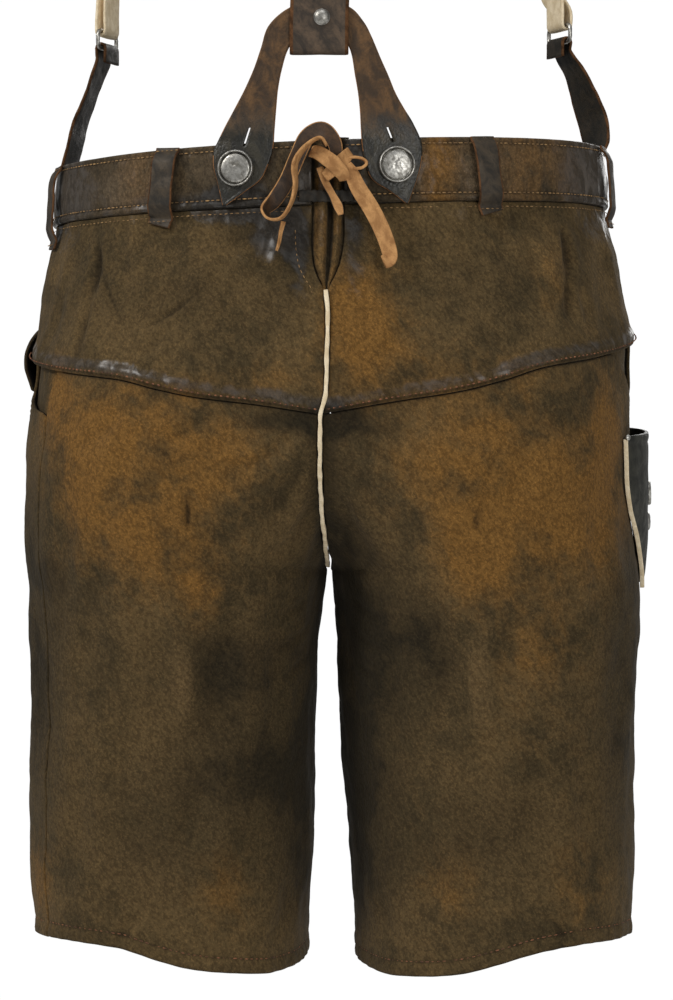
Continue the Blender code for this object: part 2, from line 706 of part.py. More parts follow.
# Each front tab between its ring and the band: across, forward, height, turn and width.
TAB_ROUTE = {
    -1: [(-147, 45, 76, 15, 23), (-152, 43, 61, 14, 24), (-157, 40, 47, 15, 25), (-160.5, 36, 32, 18, 25)],
    1: [(155, 45, 77, 30, 23), (161, 43, 61, 38, 25), (166, 40, 46, 40, 26), (168, 37, 32, 32, 26)],
}
# The tab on the band: height and width down to its point.
TAB_END = [(15, 25), (0, 25), (-13, 16), (-22, 4)]
TAB_ALONG = 33.0              # the tabs' place on the band, from the side line
TAB_WIDTH = 22.0
TAB_CLEAR = 0.7               # between the band and the tab
FOLD_ON_RING = 2.9            # radius of the leather's mid line round the wire
SHOULDER_WIDTH = 25.0
FOLD_WIDTH = 22.0


def facing(hand, degrees):
    """Outward direction of a strap's face at the side, and the direction of its width."""
    turn = math.radians(degrees)
    return (Vector((hand * math.cos(turn), math.sin(turn), 0)),
            Vector((-hand * math.sin(turn), math.cos(turn), 0)))


for hand, side in ((-1, "left"), (1, "right")):
    ring_x, ring_y, ring_z, ring_turn = RINGS[hand]
    ring_place = Vector((ring_x, ring_y, ring_z))
    face, width_way = facing(hand, ring_turn)
    points = []
    for turn_x, turn_z in ((1, 1), (-1, 1), (-1, -1), (1, -1)):
        for i in range(4):
            angle = math.atan2(turn_z, turn_x) + math.radians(-45 + 30 * i)
            across = turn_x * (RING_HALF[0] - RING_CORNER) + RING_CORNER * math.cos(angle)
            height = turn_z * (RING_HALF[1] - RING_CORNER) + RING_CORNER * math.sin(angle)
            points.append(ring_place + width_way * across + Vector((0, 0, height)))
    cord("brace_ring_" + side, points, RING_WIRE, SILVER, closed=True, resolution=2)

    # Shoulder strap: folded round the ring's upper wire, its end lying inside the strap.
    upper = ring_place + Vector((0, 0, RING_HALF[1]))
    fold = [upper - face * FOLD_ON_RING + Vector((0, 0, up)) for up in (26, 8)]
    for i in range(7):
        angle = math.pi * i / 6
        fold.append(upper + (-face * math.cos(angle) - Vector((0, 0, math.sin(angle)))) * FOLD_ON_RING)
    route = [Vector((hand * x, y, z)) for x, y, z, *_ in SHOULDER]
    hints = [Vector((hand * a, b, c)) for *_, a, b, c in SHOULDER]
    climb = curve_through([upper + face * FOLD_ON_RING + Vector((0, 0, 8))] + route, 18)
    across = [width_way] * len(fold)
    widths = [FOLD_WIDTH] * len(fold)
    for i in range(len(climb)):
        place = (len(hints) - 1) * i / (len(climb) - 1)
        at = min(int(place), len(hints) - 2)
        across.append(hints[at].lerp(hints[at + 1], place - at))
        widths.append(min(SHOULDER_WIDTH, FOLD_WIDTH + i))
    ribbon("shoulder_strap_" + side, fold + climb, across, widths, STRAP_WALL, CREAM)

    # Front tab: folded round the lower wire, then down over the waistband to its point.
    lower = ring_place - Vector((0, 0, RING_HALF[1]))
    path = [lower - face * FOLD_ON_RING - Vector((0, 0, down)) for down in (9, 5)]
    for i in range(7):
        angle = math.pi * i / 6
        path.append(lower + (-face * math.cos(angle) + Vector((0, 0, math.sin(angle)))) * FOLD_ON_RING)
    path.append(lower + face * FOLD_ON_RING - Vector((0, 0, 7)))
    across = [width_way] * len(path)
    widths = [TAB_WIDTH] * len(path)
    for x, y, z, turn, width in TAB_ROUTE[hand]:
        path.append(Vector((x, y, z)))
        across.append(facing(hand, turn)[1])
        widths.append(width)
    for z, width in TAB_END:
        path.append(skin(hand, z, TAB_ALONG, BAND_RAISE + TAB_CLEAR + STRAP_WALL / 2))
        across.append((bare(hand, z, TAB_ALONG + 3) - bare(hand, z, TAB_ALONG - 3)).normalized())
        widths.append(width)
    ribbon("front_tab_" + side, path, across, widths, STRAP_WALL, DARK_LEATHER)


# ---- buttons -----------------------------------------------------------------------------------

def button_profile(radius, height):
    """A hollow-faced button: hammered dome inside a raised round rim."""
    return [(0, height * 0.86), (radius * 0.45, height * 0.8), (radius * 0.74, height * 0.62),
            (radius * 0.8, height * 0.55), (radius * 0.86, height * 0.92), (radius * 0.92, height),
            (radius * 0.98, height * 0.86), (radius, height * 0.55), (radius * 0.93, height * 0.2),
            (radius * 0.4, 0.0), (0, 0)]


for side, x, z in (("left", -54.8, 3.0), ("right", 39.2, 5.0)):
    face = rear_face(x, z)
    slope = (rear_face(x + 2, z) - rear_face(x - 2, z)).normalized()
    out = Vector((slope.y, -slope.x, 0)).normalized()
    turned("back_button_" + side, button_profile(BACK_BUTTON, 3.2), 24, SILVER,
           face + out * (WISHBONE_WALL / 2 + GAP + 0.15), out)

for hand, side in ((-1, "left"), (1, "right")):
    turned("tab_button_" + side, button_profile(FLAP_BUTTON, 3.0), 20, SILVER,
           skin(hand, 0, TAB_ALONG, BAND_RAISE + TAB_CLEAR + STRAP_WALL + 0.6), outward(hand, 0, TAB_ALONG))
    along = front_reach(4) - 82
    turned("flap_button_" + side, button_profile(FLAP_BUTTON, 3.0), 20, SILVER,
           skin(hand, 4, along, 4.4 + GAP + 0.5), outward(hand, 4, along))


# ---- side pocket lip and knife pocket ----------------------------------------------------------

# Lip rows: height, how far it gapes.
LIP = [(-80, 0.0), (-84, 2.4), (-90, 4.6), (-97, 5.6), (-104, 5.2), (-110, 3.4), (-115, 1.4), (-119, 0.0)]
rows = []
for z, gape in LIP:
    row = []
    for column in range(6):
        along = 3.5 + 5.5 * column
        out = GAP + 1.0 + gape * (1 - (column / 5) ** 1.5)
        row.append(skin(-1, z, along, out))
    rows.append(row[::-1])
sheet("pocket_lip_left", rows, 1.6, SUEDE, inwards=False)

# Knife pocket rows: height, rear edge and front edge as distance from the side, and bulge.
KNIFE_POCKET = [
    (-150, -66, 6, 9.2),
    (-160, -66, 6, 9.4),
    (-180, -66, 6, 9.0),
    (-198, -57, 6, 8.2),
    (-208, -48, 7, 7.2),
    (-222, -34, 8, 5.2),
    (-236, -20, 9, 2.6),
    (-243, -13, 9, 1.0),
]
POCKET_WALL = 1.8
POCKET_SLANT = 6.0        # the mouth's rear edge is this much lower


def pocket_point(z, share, extra=0.0):
    rear, front, bulge = (smooth(KNIFE_POCKET, z, column) for column in (1, 2, 3))
    along = rear + (front - rear) * share
    out = GAP + 0.2 + POCKET_WALL / 2 + bulge * math.sin(math.pi * share) ** 0.55
    slant = POCKET_SLANT * (1 - share) * max(0.0, (z + 243) / 93)
    return skin(1, z - slant, along, out + extra)


rows = []
for z in (-150, -160, -170, -184, -198, -208, -222, -236, -243):
    rows.append([pocket_point(z, share)
                 for share in (0, 0.04, 0.12, 0.24, 0.38, 0.5, 0.62, 0.76, 0.88, 0.96, 1)])
sheet("knife_pocket", rows, POCKET_WALL, POCKET, inwards=False)

# The piping lies along the pocket's rear edge and past its foot: height, distance behind the edge.
KNIFE_PIPING = [(-158, 3.2), (-170, 3.2), (-184, 3.2), (-198, 3.6), (-206, 4.0), (-214, 4.2), (-224, 4.0),
                (-236, 3.6), (-245, 3.2)]
path, hints = [], []
for z, back_off in KNIFE_PIPING:
    slant = POCKET_SLANT * max(0.0, (z + 243) / 93)
    path.append(skin(1, z, smooth(KNIFE_POCKET, z + slant, 1) - back_off, GAP + 1.6))
    hints.append(bare(1, z, -30) - bare(1, z, -34))
ribbon("knife_pocket_piping", path, hints, [2.6] * len(path), 2.6, CREAM)

# A button near the front edge, and under it a flat oval stud.
turned("knife_pocket_button", button_profile(POCKET_BUTTON, 2.6), 20, SILVER,
       pocket_point(-188, 0.76, POCKET_WALL / 2 + GAP + 0.9), outward(1, -188, -10))
turned("knife_pocket_plate", [(0, 1.8), (3.4, 1.7), (5.0, 1.2), (5.6, 0.6), (5.2, 0), (0, 0)], 20, SILVER,
       pocket_point(-206.5, 0.78, POCKET_WALL / 2 + GAP + 2.0),
       (outward(1, -206, -8) + Vector((0, 0, -0.12))).normalized())


# ---- lacing ------------------------------------------------------------------------------------

# A short dark strip holds the two edges together across the opening.
rows = []
for z in (-10.0, -17.0):
    rows.append([Vector((x, -(smooth(BODY, z, 3) + BAND_RAISE + GAP + 1.1), z))
                 for x in (-18, -10, -2, 6, 14)])
sheet("lace_keeper", rows, 1.4, DARK_LEATHER, inwards=False)

bpy.ops.mesh.primitive_cube_add(size=1)
knot = bpy.context.object
knot.name = "lace_knot"
for collection in list(knot.users_collection):
    collection.objects.unlink(knot)
parts.objects.link(knot)
knot.data.materials.append(TAN)
knot.data.transform(Matrix.Diagonal((22 * MM, 8 * MM, 13 * MM, 1)))
soften = knot.modifiers.new("round", "BEVEL")
soften.width = 2.6 * MM
soften.segments = 2
knot.matrix_world = Matrix.Translation((-1 * MM, -135.5 * MM, 4.5 * MM))

# Long bow loop on the left: out of the knot, over the top of the band, down and back up.
BOW_LOOP = [(4, -128.4, 4), (3, -128.6, 17), (-4, -129.4, 25), (-13, -130.2, 21), (-19, -131.0, 9),
            (-25, -131.4, -5), (-32, -132.0, -16), (-37.5, -134.0, -22), (-35, -137.2, -27.5),
            (-28, -138.4, -27), (-22.5, -138.0, -18.5), (-20, -137.6, -8), (-20.5, -137.6, 3),
            (-17, -137.6, 11), (-10.5, -137.6, 17.5), (-5, -137.6, 19.5), (-1.5, -137.6, 15)]
cord("lace_bow_loop", curve_through([Vector(p) for p in BOW_LOOP], 6), LACE_RADIUS, TAN)

# Long free end on the right, its tip folded under.
LONG_END = [(12.8, -134.4, 1), (17, -135.6, -10), (24.5, -136.2, -22), (30.5, -136.2, -34), (34.5, -136.2, -45),
            (35.0, -137.8, -52), (31.5, -139.6, -54)]
cord("lace_long_end", curve_through([Vector(p) for p in LONG_END], 6), LACE_RADIUS, TAN)

# Short free end in the opening and small loop beside the knot, both flat.
SHORT_END = [(-4, -130.2, -4), (1, -130.2, -12), (6.5, -130.6, -21)]
path = curve_through([Vector(p) for p in SHORT_END], 5)
ribbon("lace_short_end", path, [Vector((1, 0, 0.5))] * len(path), [5.0] * len(path), 1.6, TAN)
SMALL_LOOP = [(11.6, -130.4, 7.5), (16, -131, 7.5), (20.5, -131.8, 5.5), (20.5, -133.6, 2.6),
              (16, -135, 2.6), (13.6, -136, 3.4)]
path = curve_through([Vector(p) for p in SMALL_LOOP], 4)
ribbon("lace_small_loop", path, [Vector((0, 1, 0.2))] * len(path), [3.0] * len(path), 1.4, TAN)
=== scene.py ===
import math

import bmesh
import bpy
import numpy as np
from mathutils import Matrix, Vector, noise


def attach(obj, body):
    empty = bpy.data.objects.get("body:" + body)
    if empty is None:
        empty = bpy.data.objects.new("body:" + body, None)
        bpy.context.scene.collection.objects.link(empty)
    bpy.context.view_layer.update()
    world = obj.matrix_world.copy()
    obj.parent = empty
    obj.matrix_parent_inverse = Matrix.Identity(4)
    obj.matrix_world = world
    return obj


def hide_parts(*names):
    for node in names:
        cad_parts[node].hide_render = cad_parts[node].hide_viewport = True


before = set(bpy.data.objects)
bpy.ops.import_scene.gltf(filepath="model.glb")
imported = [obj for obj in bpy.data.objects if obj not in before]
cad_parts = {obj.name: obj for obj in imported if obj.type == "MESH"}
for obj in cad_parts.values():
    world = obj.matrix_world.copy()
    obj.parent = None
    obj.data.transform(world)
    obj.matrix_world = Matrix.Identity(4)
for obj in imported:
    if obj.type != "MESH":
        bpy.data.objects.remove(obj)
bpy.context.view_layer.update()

# ==== Studio =====================================================================================
# The garment hangs at waist height over a pale floor in soft, even light.
# The camera looks square on to the seat, level with the middle of the legs.

EYE = (0.004, -2.3, -0.1916)
FLOOR_HEIGHT = -0.86

camera = bpy.data.objects.new("camera", bpy.data.cameras.new("camera"))
camera.location = EYE
camera.rotation_euler = (math.pi / 2, 0, 0)
camera.data.lens = 133.56
camera.data.sensor_width = 36.0
bpy.context.scene.collection.objects.link(camera)
bpy.context.scene.camera = camera
bpy.context.scene.view_settings.view_transform = "Standard"
bpy.context.scene.view_settings.look = "None"

sky = bpy.data.worlds.new("soft white room")
sky.use_nodes = True
sky.node_tree.nodes["Background"].inputs["Color"].default_value = (1.0, 1.0, 1.0, 1)
sky.node_tree.nodes["Background"].inputs["Strength"].default_value = 0.26
bpy.context.scene.world = sky

# Soft boxes: name, place, size, power and warmth of the colour.
LAMPS = [
    ("soft box left", (-1.7, -1.2, 1.3), 0.6, 27, (1.0, 0.98, 0.95)),
    ("soft box right", (1.2, -2.6, 0.1), 1.0, 19, (1.0, 0.99, 0.97)),
    ("strip above", (0.0, -1.0, 1.9), 0.8, 12, (0.97, 0.98, 1.0)),
    ("soft box front", (0.6, 2.4, 0.9), 1.5, 26, (1.0, 0.99, 0.97)),
]
for name, place, size, power, tint in LAMPS:
    lamp = bpy.data.objects.new(name, bpy.data.lights.new(name, "AREA"))
    lamp.data.shape = "SQUARE"
    lamp.data.size = size
    lamp.data.energy = power
    lamp.data.color = tint
    lamp.location = place
    lamp.rotation_euler = (Vector((0, 0, -0.2)) - Vector(place)).to_track_quat("-Z", "Y").to_euler()
    bpy.context.scene.collection.objects.link(lamp)


def colour(red, green, blue):
    """A colour given in display values from 0 to 255, as the shader's linear one."""
    return tuple(((c / 255 + 0.055) / 1.055) ** 2.4 if c > 10 else c / 255 / 12.92
                 for c in (red, green, blue)) + (1.0,)


bpy.ops.mesh.primitive_circle_add(vertices=96, radius=2.2, fill_type="NGON", location=(0, 0, FLOOR_HEIGHT))
floor = bpy.context.object
floor.name = "studio_floor"
paint = bpy.data.materials.new("pale floor")
paint.use_nodes = True
paint.node_tree.nodes["Principled BSDF"].inputs["Base Color"].default_value = (0.93, 0.93, 0.92, 1)
paint.node_tree.nodes["Principled BSDF"].inputs["Roughness"].default_value = 0.9
floor.data.materials.append(paint)
bpy.ops.mesh.primitive_plane_add(size=2.8, location=(0, 6.0, -0.2), rotation=(math.pi / 2, 0, 0))
backdrop = bpy.context.object
backdrop.name = "white_backdrop"
glow = bpy.data.materials.new("lit white paper")
glow.use_nodes = True
glow.node_tree.nodes["Principled BSDF"].inputs["Base Color"].default_value = (0, 0, 0, 1)
glow.node_tree.nodes["Principled BSDF"].inputs["Emission Color"].default_value = (1, 1, 1, 1)
glow.node_tree.nodes["Principled BSDF"].inputs["Emission Strength"].default_value = 1.0
backdrop.data.materials.append(glow)

# ==== Thong ======================================================================================
# A flat leather thong, about 9 mm wide, laces the back of the waistband and is tied in a bow.
# Its grain side is dark brown; its flesh side and cut edges are tan.

MM = 0.001
THONG_WALL = 1.5


def node(tree, kind, inputs=(), **settings):
    """Adds a node; inputs are (socket name or number, value or the socket that feeds it)."""
    made = tree.nodes.new(kind)
    for key, value in settings.items():
        setattr(made, key, value)
    for key, value in inputs:
        if isinstance(value, bpy.types.NodeSocket):
            tree.links.new(value, made.inputs[key])
        else:
            made.inputs[key].default_value = value
    return made


def new_group(name, inputs, outputs):
    """An empty shader node group with named sockets: (name, type, value)."""
    group = bpy.data.node_groups.new(name, "ShaderNodeTree")
    for socket, kind, value in inputs:
        made = group.interface.new_socket(name=socket, in_out="INPUT", socket_type="NodeSocket" + kind)
        if value is not None:
            made.default_value = value
    for socket, kind in outputs:
        group.interface.new_socket(name=socket, in_out="OUTPUT", socket_type="NodeSocket" + kind)
    return group, group.nodes.new("NodeGroupInput"), group.nodes.new("NodeGroupOutput")


# Grain at four sizes: clouds, mottling, the streaks of the nap and fine specks. Lean turns the
# streaks from the level.
leather_grain, start, end = new_group(
    "leather grain", [("Vector", "Vector", None), ("Scale", "Float", 1.0), ("Lean", "Float", 0.6)],
    [("Clouds", "Float"), ("Mottle", "Float"), ("Speck", "Float"), ("Nap", "Float")])
size = node(leather_grain, "ShaderNodeVectorMath",
            [(0, start.outputs["Vector"]), (3, start.outputs["Scale"])], operation="SCALE")
lean = node(leather_grain, "ShaderNodeVectorRotate",
            [("Vector", size.outputs[0]), ("Angle", start.outputs["Lean"])], rotation_type="Y_AXIS")
drawn = node(leather_grain, "ShaderNodeVectorMath", [(0, lean.outputs[0]), (1, (1.0, 1.0, 0.6))],
             operation="MULTIPLY")
# Each kind of grain: its output, the point it reads, scale, detail, roughness and distortion.
for name, source, scale, detail, rough, distortion in (
        ("Clouds", size, 24.0, 3.0, 0.6, 0.0), ("Mottle", drawn, 130.0, 4.0, 0.62, 0.6),
        ("Speck", size, 760.0, 2.0, 0.7, 0.0), ("Nap", drawn, 540.0, 3.0, 0.65, 0.0)):
    noisy = node(leather_grain, "ShaderNodeTexNoise",
                 [("Vector", source.outputs[0]), ("Scale", scale), ("Detail", detail), ("Roughness", rough),
                  ("Distortion", distortion)])
    leather_grain.links.new(noisy.outputs["Fac"], end.inputs[name])


def new_material(name):
    """A node material: returns it, its tree, its Principled shader and the object coordinates."""
    material = bpy.data.materials.new(name)
    material.use_nodes = True
    tree = material.node_tree
    point = tree.nodes.new("ShaderNodeTexCoord").outputs["Object"]
    return material, tree, tree.nodes["Principled BSDF"], point


def mix(tree, share, first, second, blend="MIX"):
    """Colour mix; share, first and second are values or sockets."""
    made = tree.nodes.new("ShaderNodeMix")
    made.data_type = "RGBA"
    made.blend_type = blend
    for key, value in ((0, share), (6, first), (7, second)):
        if isinstance(value, bpy.types.NodeSocket):
            tree.links.new(value, made.inputs[key])
        else:
            made.inputs[key].default_value = value
    return made.outputs[2]


def ramp(tree, value, low, high, to_low=0.0, to_high=1.0):
    """Smooth map of a value from one range to another."""
    return node(tree, "ShaderNodeMapRange", [(0, value), (1, low), (2, high), (3, to_low), (4, to_high)],
                interpolation_type="SMOOTHSTEP").outputs[0]


def calc(tree, operation, first, second=0.0):
    """Arithmetic on two values or sockets."""
    return node(tree, "ShaderNodeMath", [(0, first), (1, second)], operation=operation).outputs[0]


def grain(tree, point, scale=1.0, lean=0.6):
    """Places the leather grain in a material and gives its outputs."""
    made = tree.nodes.new("ShaderNodeGroup")
    made.node_tree = leather_grain
    tree.links.new(point, made.inputs["Vector"])
    made.inputs["Scale"].default_value = scale
    made.inputs["Lean"].default_value = lean
    return made.outputs


def bump(tree, shader, height, strength, distance):
    """Turns a height into the shader's normal; distance is in metres."""
    made = node(tree, "ShaderNodeBump", [("Strength", strength), ("Distance", distance), ("Height", height)])
    tree.links.new(made.outputs[0], shader.inputs["Normal"])


def plain_leather(name, dark, light, roughness, shine, bump_height=0.0004, scale=1.0):
    """Leather of two tones, mottled, with a fine grain."""
    material, tree, shader, point = new_material(name)
    tones = grain(tree, point, scale)
    tone = mix(tree, ramp(tree, tones["Mottle"], 0.32, 0.68), dark, light)
    tone = mix(tree, ramp(tree, tones["Speck"], 0.35, 0.7, 0.0, 0.35), tone, dark)
    tree.links.new(tone, shader.inputs["Base Color"])
    dull = ramp(tree, tones["Mottle"], 0.3, 0.7, roughness + 0.12, roughness - 0.08)
    tree.links.new(dull, shader.inputs["Roughness"])
    shader.inputs["Specular IOR Level"].default_value = shine
    height = calc(tree, "ADD", calc(tree, "MULTIPLY", tones["Mottle"], 0.8),
                  calc(tree, "MULTIPLY", tones["Speck"], 0.5))
    bump(tree, shader, height, 0.6, bump_height)
    return material


thong_grain = plain_leather("thong grain side", colour(44, 32, 22), colour(84, 60, 38), 0.55, 0.4)
thong_flesh = plain_leather("thong flesh side", colour(150, 108, 68), colour(198, 150, 98), 0.9, 0.15,
                            scale=1.4)


def curve_through(points, spacing):
    """Evenly spaced points on a smooth curve through rows of numbers (Catmull-Rom)."""
    points = np.array(points, float)
    ends = np.vstack([2 * points[0] - points[1], points, 2 * points[-1] - points[-2]])
    t = np.linspace(0, 1, 16, endpoint=False)[:, None]
    dense = [0.5 * (2 * b + (c - a) * t + (2 * a - 5 * b + 4 * c - d) * t * t
                    + (3 * b - a - 3 * c + d) * t ** 3)
             for a, b, c, d in zip(ends, ends[1:], ends[2:], ends[3:])]
    dense = np.vstack(dense + [points[-1:]])
    lengths = np.concatenate([[0], np.cumsum(np.linalg.norm(np.diff(dense[:, :3], axis=0), axis=1))])
    wanted = np.linspace(0, lengths[-1], max(2, round(lengths[-1] / spacing)) + 1)
    return np.stack([np.interp(wanted, lengths, dense[:, k]) for k in range(dense.shape[1])], axis=1)


def unit(vectors):
    """Vectors scaled to length 1."""
    return vectors / np.maximum(np.linalg.norm(vectors, axis=-1, keepdims=True), 1e-9)


def new_piece(name, points, faces, materials, indices=None, smooth=True):
    """A mesh object from points in millimetres."""
    mesh = bpy.data.meshes.new(name)
    mesh.from_pydata((np.asarray(points) * MM).tolist(), [], faces)
    for material in materials:
        mesh.materials.append(material)
    if indices is not None:
        mesh.polygons.foreach_set("material_index", indices)
    if smooth:
        mesh.shade_smooth()
    mesh.update()
    piece = bpy.data.objects.new(name, mesh)
    bpy.context.scene.collection.objects.link(piece)
    return piece


def settle(piece, slot_name, *nodes):
    """The piece rides on the garment and stands for these solids; its slot name is not used."""
    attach(piece, "root")
    if nodes:
        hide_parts(*nodes)
    return piece


def strip(name, path, across, widths, wall, materials, kinds=(0, 0, 1), dome=0.0, lift=None):
    """A flat strap along a path; kinds gives the material number of its face, back and edges."""
    along = unit(np.gradient(path, axis=0))
    across = unit(across - along * np.sum(across * along, axis=1)[:, None])
    out = np.cross(along, across)
    # Section: share of the half width, and height as a share of half the wall.
    face = [(-1.0, 0.3), (-0.965, 0.85), (-0.88, 1.0), (-0.6, 1.0), (-0.3, 1.0), (0.0, 1.0), (0.3, 1.0),
            (0.6, 1.0), (0.88, 1.0), (0.965, 0.85), (1.0, 0.3)]
    section = face + [(share, -level) for share, level in face[::-1]]
    count = len(section)
    shares = np.array(section)[:, 0]
    levels = np.array(section)[:, 1] * wall / 2 + dome * (1 - shares ** 2)
    points = (path[:, None] + across[:, None] * (shares * np.asarray(widths)[:, None] / 2)[..., None]
              + out[:, None] * levels[None, :, None])
    if lift is not None:
        points += out[:, None] * lift(points)[..., None]
    edge_kind = [kinds[2]] * 2 + [kinds[0]] * 6 + [kinds[2]] * 5 + [kinds[1]] * 6 + [kinds[2]] * 3
    faces, indices = [], []
    for i in range(len(path) - 1):
        for j in range(count):
            a, b = i * count + j, i * count + (j + 1) % count
            faces.append((a, b, b + count, a + count))
            indices.append(edge_kind[j])
    last = (len(path) - 1) * count
    faces += [tuple(range(count))[::-1], tuple(range(last, last + count))]
    indices += [kinds[2]] * 2
    piece = new_piece(name, points.reshape(-1, 3), faces, materials, indices)
    face_out(piece)
    return piece


def face_out(piece):
    """Turns every face outwards on a closed piece."""
    form = bmesh.new()
    form.from_mesh(piece.data)
    bmesh.ops.recalc_face_normals(form, faces=form.faces)
    form.to_mesh(piece.data)
    form.free()


def thong(name, route, kinds=(0, 1, 1)):
    """A thong along rows of across, forward, height, turn in degrees and width.

    Turn 0 lays its width across the view from behind, and 90 lays it along that view."""
    rows = curve_through(route, 1.0)
    path = rows[:, :3]
    along = unit(np.gradient(path, axis=0))
    view = np.array([0.0, -1.0, 0.0])
    flat = unit(np.cross(along, view))
    deep = unit(view - along * (along @ view)[:, None])
    turn = np.radians(rows[:, 3])[:, None]
    piece = strip(name, path, flat * np.cos(turn) + deep * np.sin(turn), rows[:, 4], THONG_WALL,
                  [thong_grain, thong_flesh], kinds, dome=0.25)
    return piece, path * MM


# Bow loop: out of the knot, over the band's top edge, down, round and back up on its edge.
# Columns: across, forward, height, turn and width.
BOW_LOOP = [
    (4, -128.4, 4, 20, 7), (3, -128.6, 17, 10, 8.5), (-4, -129.4, 25, 4, 9.5), (-13, -130.2, 21, 0, 9.6),
    (-19, -131.0, 9, 0, 9.4), (-25, -131.4, -5, 4, 9.4), (-32, -132.0, -16, 20, 9.4),
    (-37.5, -134.0, -22, 55, 9.2), (-35, -137.2, -27.5, 82, 9), (-28, -138.4, -27, 92, 9),
    (-22.5, -138.0, -18.5, 96, 9), (-20, -137.6, -8, 102, 9), (-20.5, -137.6, 3, 108, 9),
    (-17, -137.6, 11, 104, 8.6), (-10.5, -137.6, 17.5, 96, 8), (-5, -137.6, 19.5, 92, 7.4),
    (-1.5, -137.6, 15, 90, 7),
]
bow_loop, path = thong("thong_bow_loop", BOW_LOOP, kinds=(1, 0, 1))
settle(bow_loop, "tan_thong", "lace_bow_loop")

# Long free end: hangs to the right from the knot, flesh side out, its tip folded under.
LONG_END = [
    (9.5, -133.6, 4, 8, 7), (12.8, -134.4, -1, 5, 8.4), (17, -135.6, -10, 2, 9.6),
    (24.5, -136.2, -22, 0, 9.8), (30.5, -136.2, -34, -3, 9.6), (34.5, -136.2, -45, -6, 9.2),
    (35.0, -137.8, -51, -4, 8.6), (31.5, -139.6, -53, 0, 8),
]
long_end, path = thong("thong_long_end", LONG_END, kinds=(0, 1, 1))
settle(long_end, "tan_thong", "lace_long_end")

# ==== Body panels: seat yokes ====================================================================
# Painted shade also lies in its creases and grooves, and painted highlight on its ridges.
# Suede about 1.8 mm thick, worn to olive brown with rusty rubbed patches and dark greasy ones mixed with
# painted shade.
# The two yokes lap over the legs at a soft rolled seam, waxed and grey along its ridge.

WALL = 1.8
WAIST_TOP, WAIST_BOTTOM, CROTCH = 18.0, -18.0, -235.0
SEAT_BREAK, FRONT_BREAK = -130.0, -120.0      # where the centre seams start to run in to the crotch
GAP, SET_BACK, INSEAM_BACK = 0.3, 0.25, 0.2   # between faces, and at panel edges and inseams
BAND_RAISE, YOKE_RAISE = 2.0, 1.3             # how far these stand outside the body form

# Body levels: height, half width, how far both sides sit to the right, depth behind and in front,
# where the leg's middle lies across, and squareness.
BODY = [
    (18, 167.0, 0.4, 122, 112, 0, 2.3), (-18, 169.5, 0.5, 124, 113, 0, 2.3),
    (-50, 176.2, 1.3, 129, 115, 12, 2.35), (-83, 180.8, 1.5, 134, 117, 30, 2.4),
    (-100, 184.4, 1.8, 136, 118, 42, 2.45), (-130, 184.6, 0.3, 138, 118, 58, 2.5),
    (-165, 185.5, -1.4, 139, 118, 75, 2.5), (-195, 186.4, -1.6, 137, 117, 85, 2.5),
    (-222, 187.5, 0.6, 133, 115, 92, 2.5), (-245, 187.4, 2.9, 128, 113, 95, 2.5),
    (-285, 186.7, 2.4, 120, 110, 97, 2.5), (-350, 185.4, 1.3, 112, 106, 98, 2.5),
    (-410, 185.9, 1.1, 107, 102, 99, 2.5), (-445, 184.0, 1.6, 105, 101, 100, 2.5),
    (-480, 183.6, 2.2, 104, 100, 100, 2.5),
]
# By height: half the distance between the two halves behind and in front, how far the middle line
# wanders to the wearer's right, and how much higher the right side hangs than the middle.
BACK_EDGE = [
    (18, 9.5), (-20, 9.5), (-38, 9.7), (-52, 8.2), (-62, 4.6), (-68, 1.6), (-228, 1.6), (-236, 1.9),
    (-254, 4.2), (-285, 6.0), (-316, 6.9), (-347, 8.4), (-378, 10.0), (-409, 11.5), (-440, 14.0),
    (-480, 14.6),
]
FRONT_EDGE = [(18, 0.25), (-210, 0.25), (-228, 1.6)] + BACK_EDGE[7:]
CENTRE_DRIFT = [
    (18, -1.0), (-30, -1.0), (-68, -2.3), (-84, -1.2), (-128, -2.3), (-143, -5.3), (-165, -5.8),
    (-189, -5.3), (-221, -2.3), (-238, -0.9), (-300, -1.8), (-347, -1.5), (-378, 0.0), (-409, 0.9),
    (-480, 0.9),
]
SIDE_LIFT = [(18, 6.0), (-100, 5.2), (-200, 1.0), (-480, -2.0)]
YOKE_SEAM = [
    (0, -141.5), (40, -135.0), (76, -130.0), (100, -124.5), (125, -117.5), (165, -112.0), (205, -106.0),
    (260, -98.0),
]
# Large soft folds: half, height, distance from the side, half length, half width, depth and lean.
FOLDS = [
    (-1, -70, -72, 42, 7, 1.6, 12), (-1, -62, -190, 46, 8, 1.5, -32), (1, -62, -62, 40, 7, 1.5, -6),
    (-1, -175, -158, 46, 9, 1.4, 18), (1, -175, -165, 46, 9, 1.4, -18), (-1, -430, -205, 34, 12, 1.5, 20),
    (1, -432, -200, 34, 12, 1.5, -24), (-1, -300, -70, 90, 16, 1.6, 4), (1, -310, -80, 90, 16, 1.6, -4),
    (-1, -180, 90, 60, 10, 1.8, 24), (1, -185, 95, 60, 10, 1.8, -22),
]


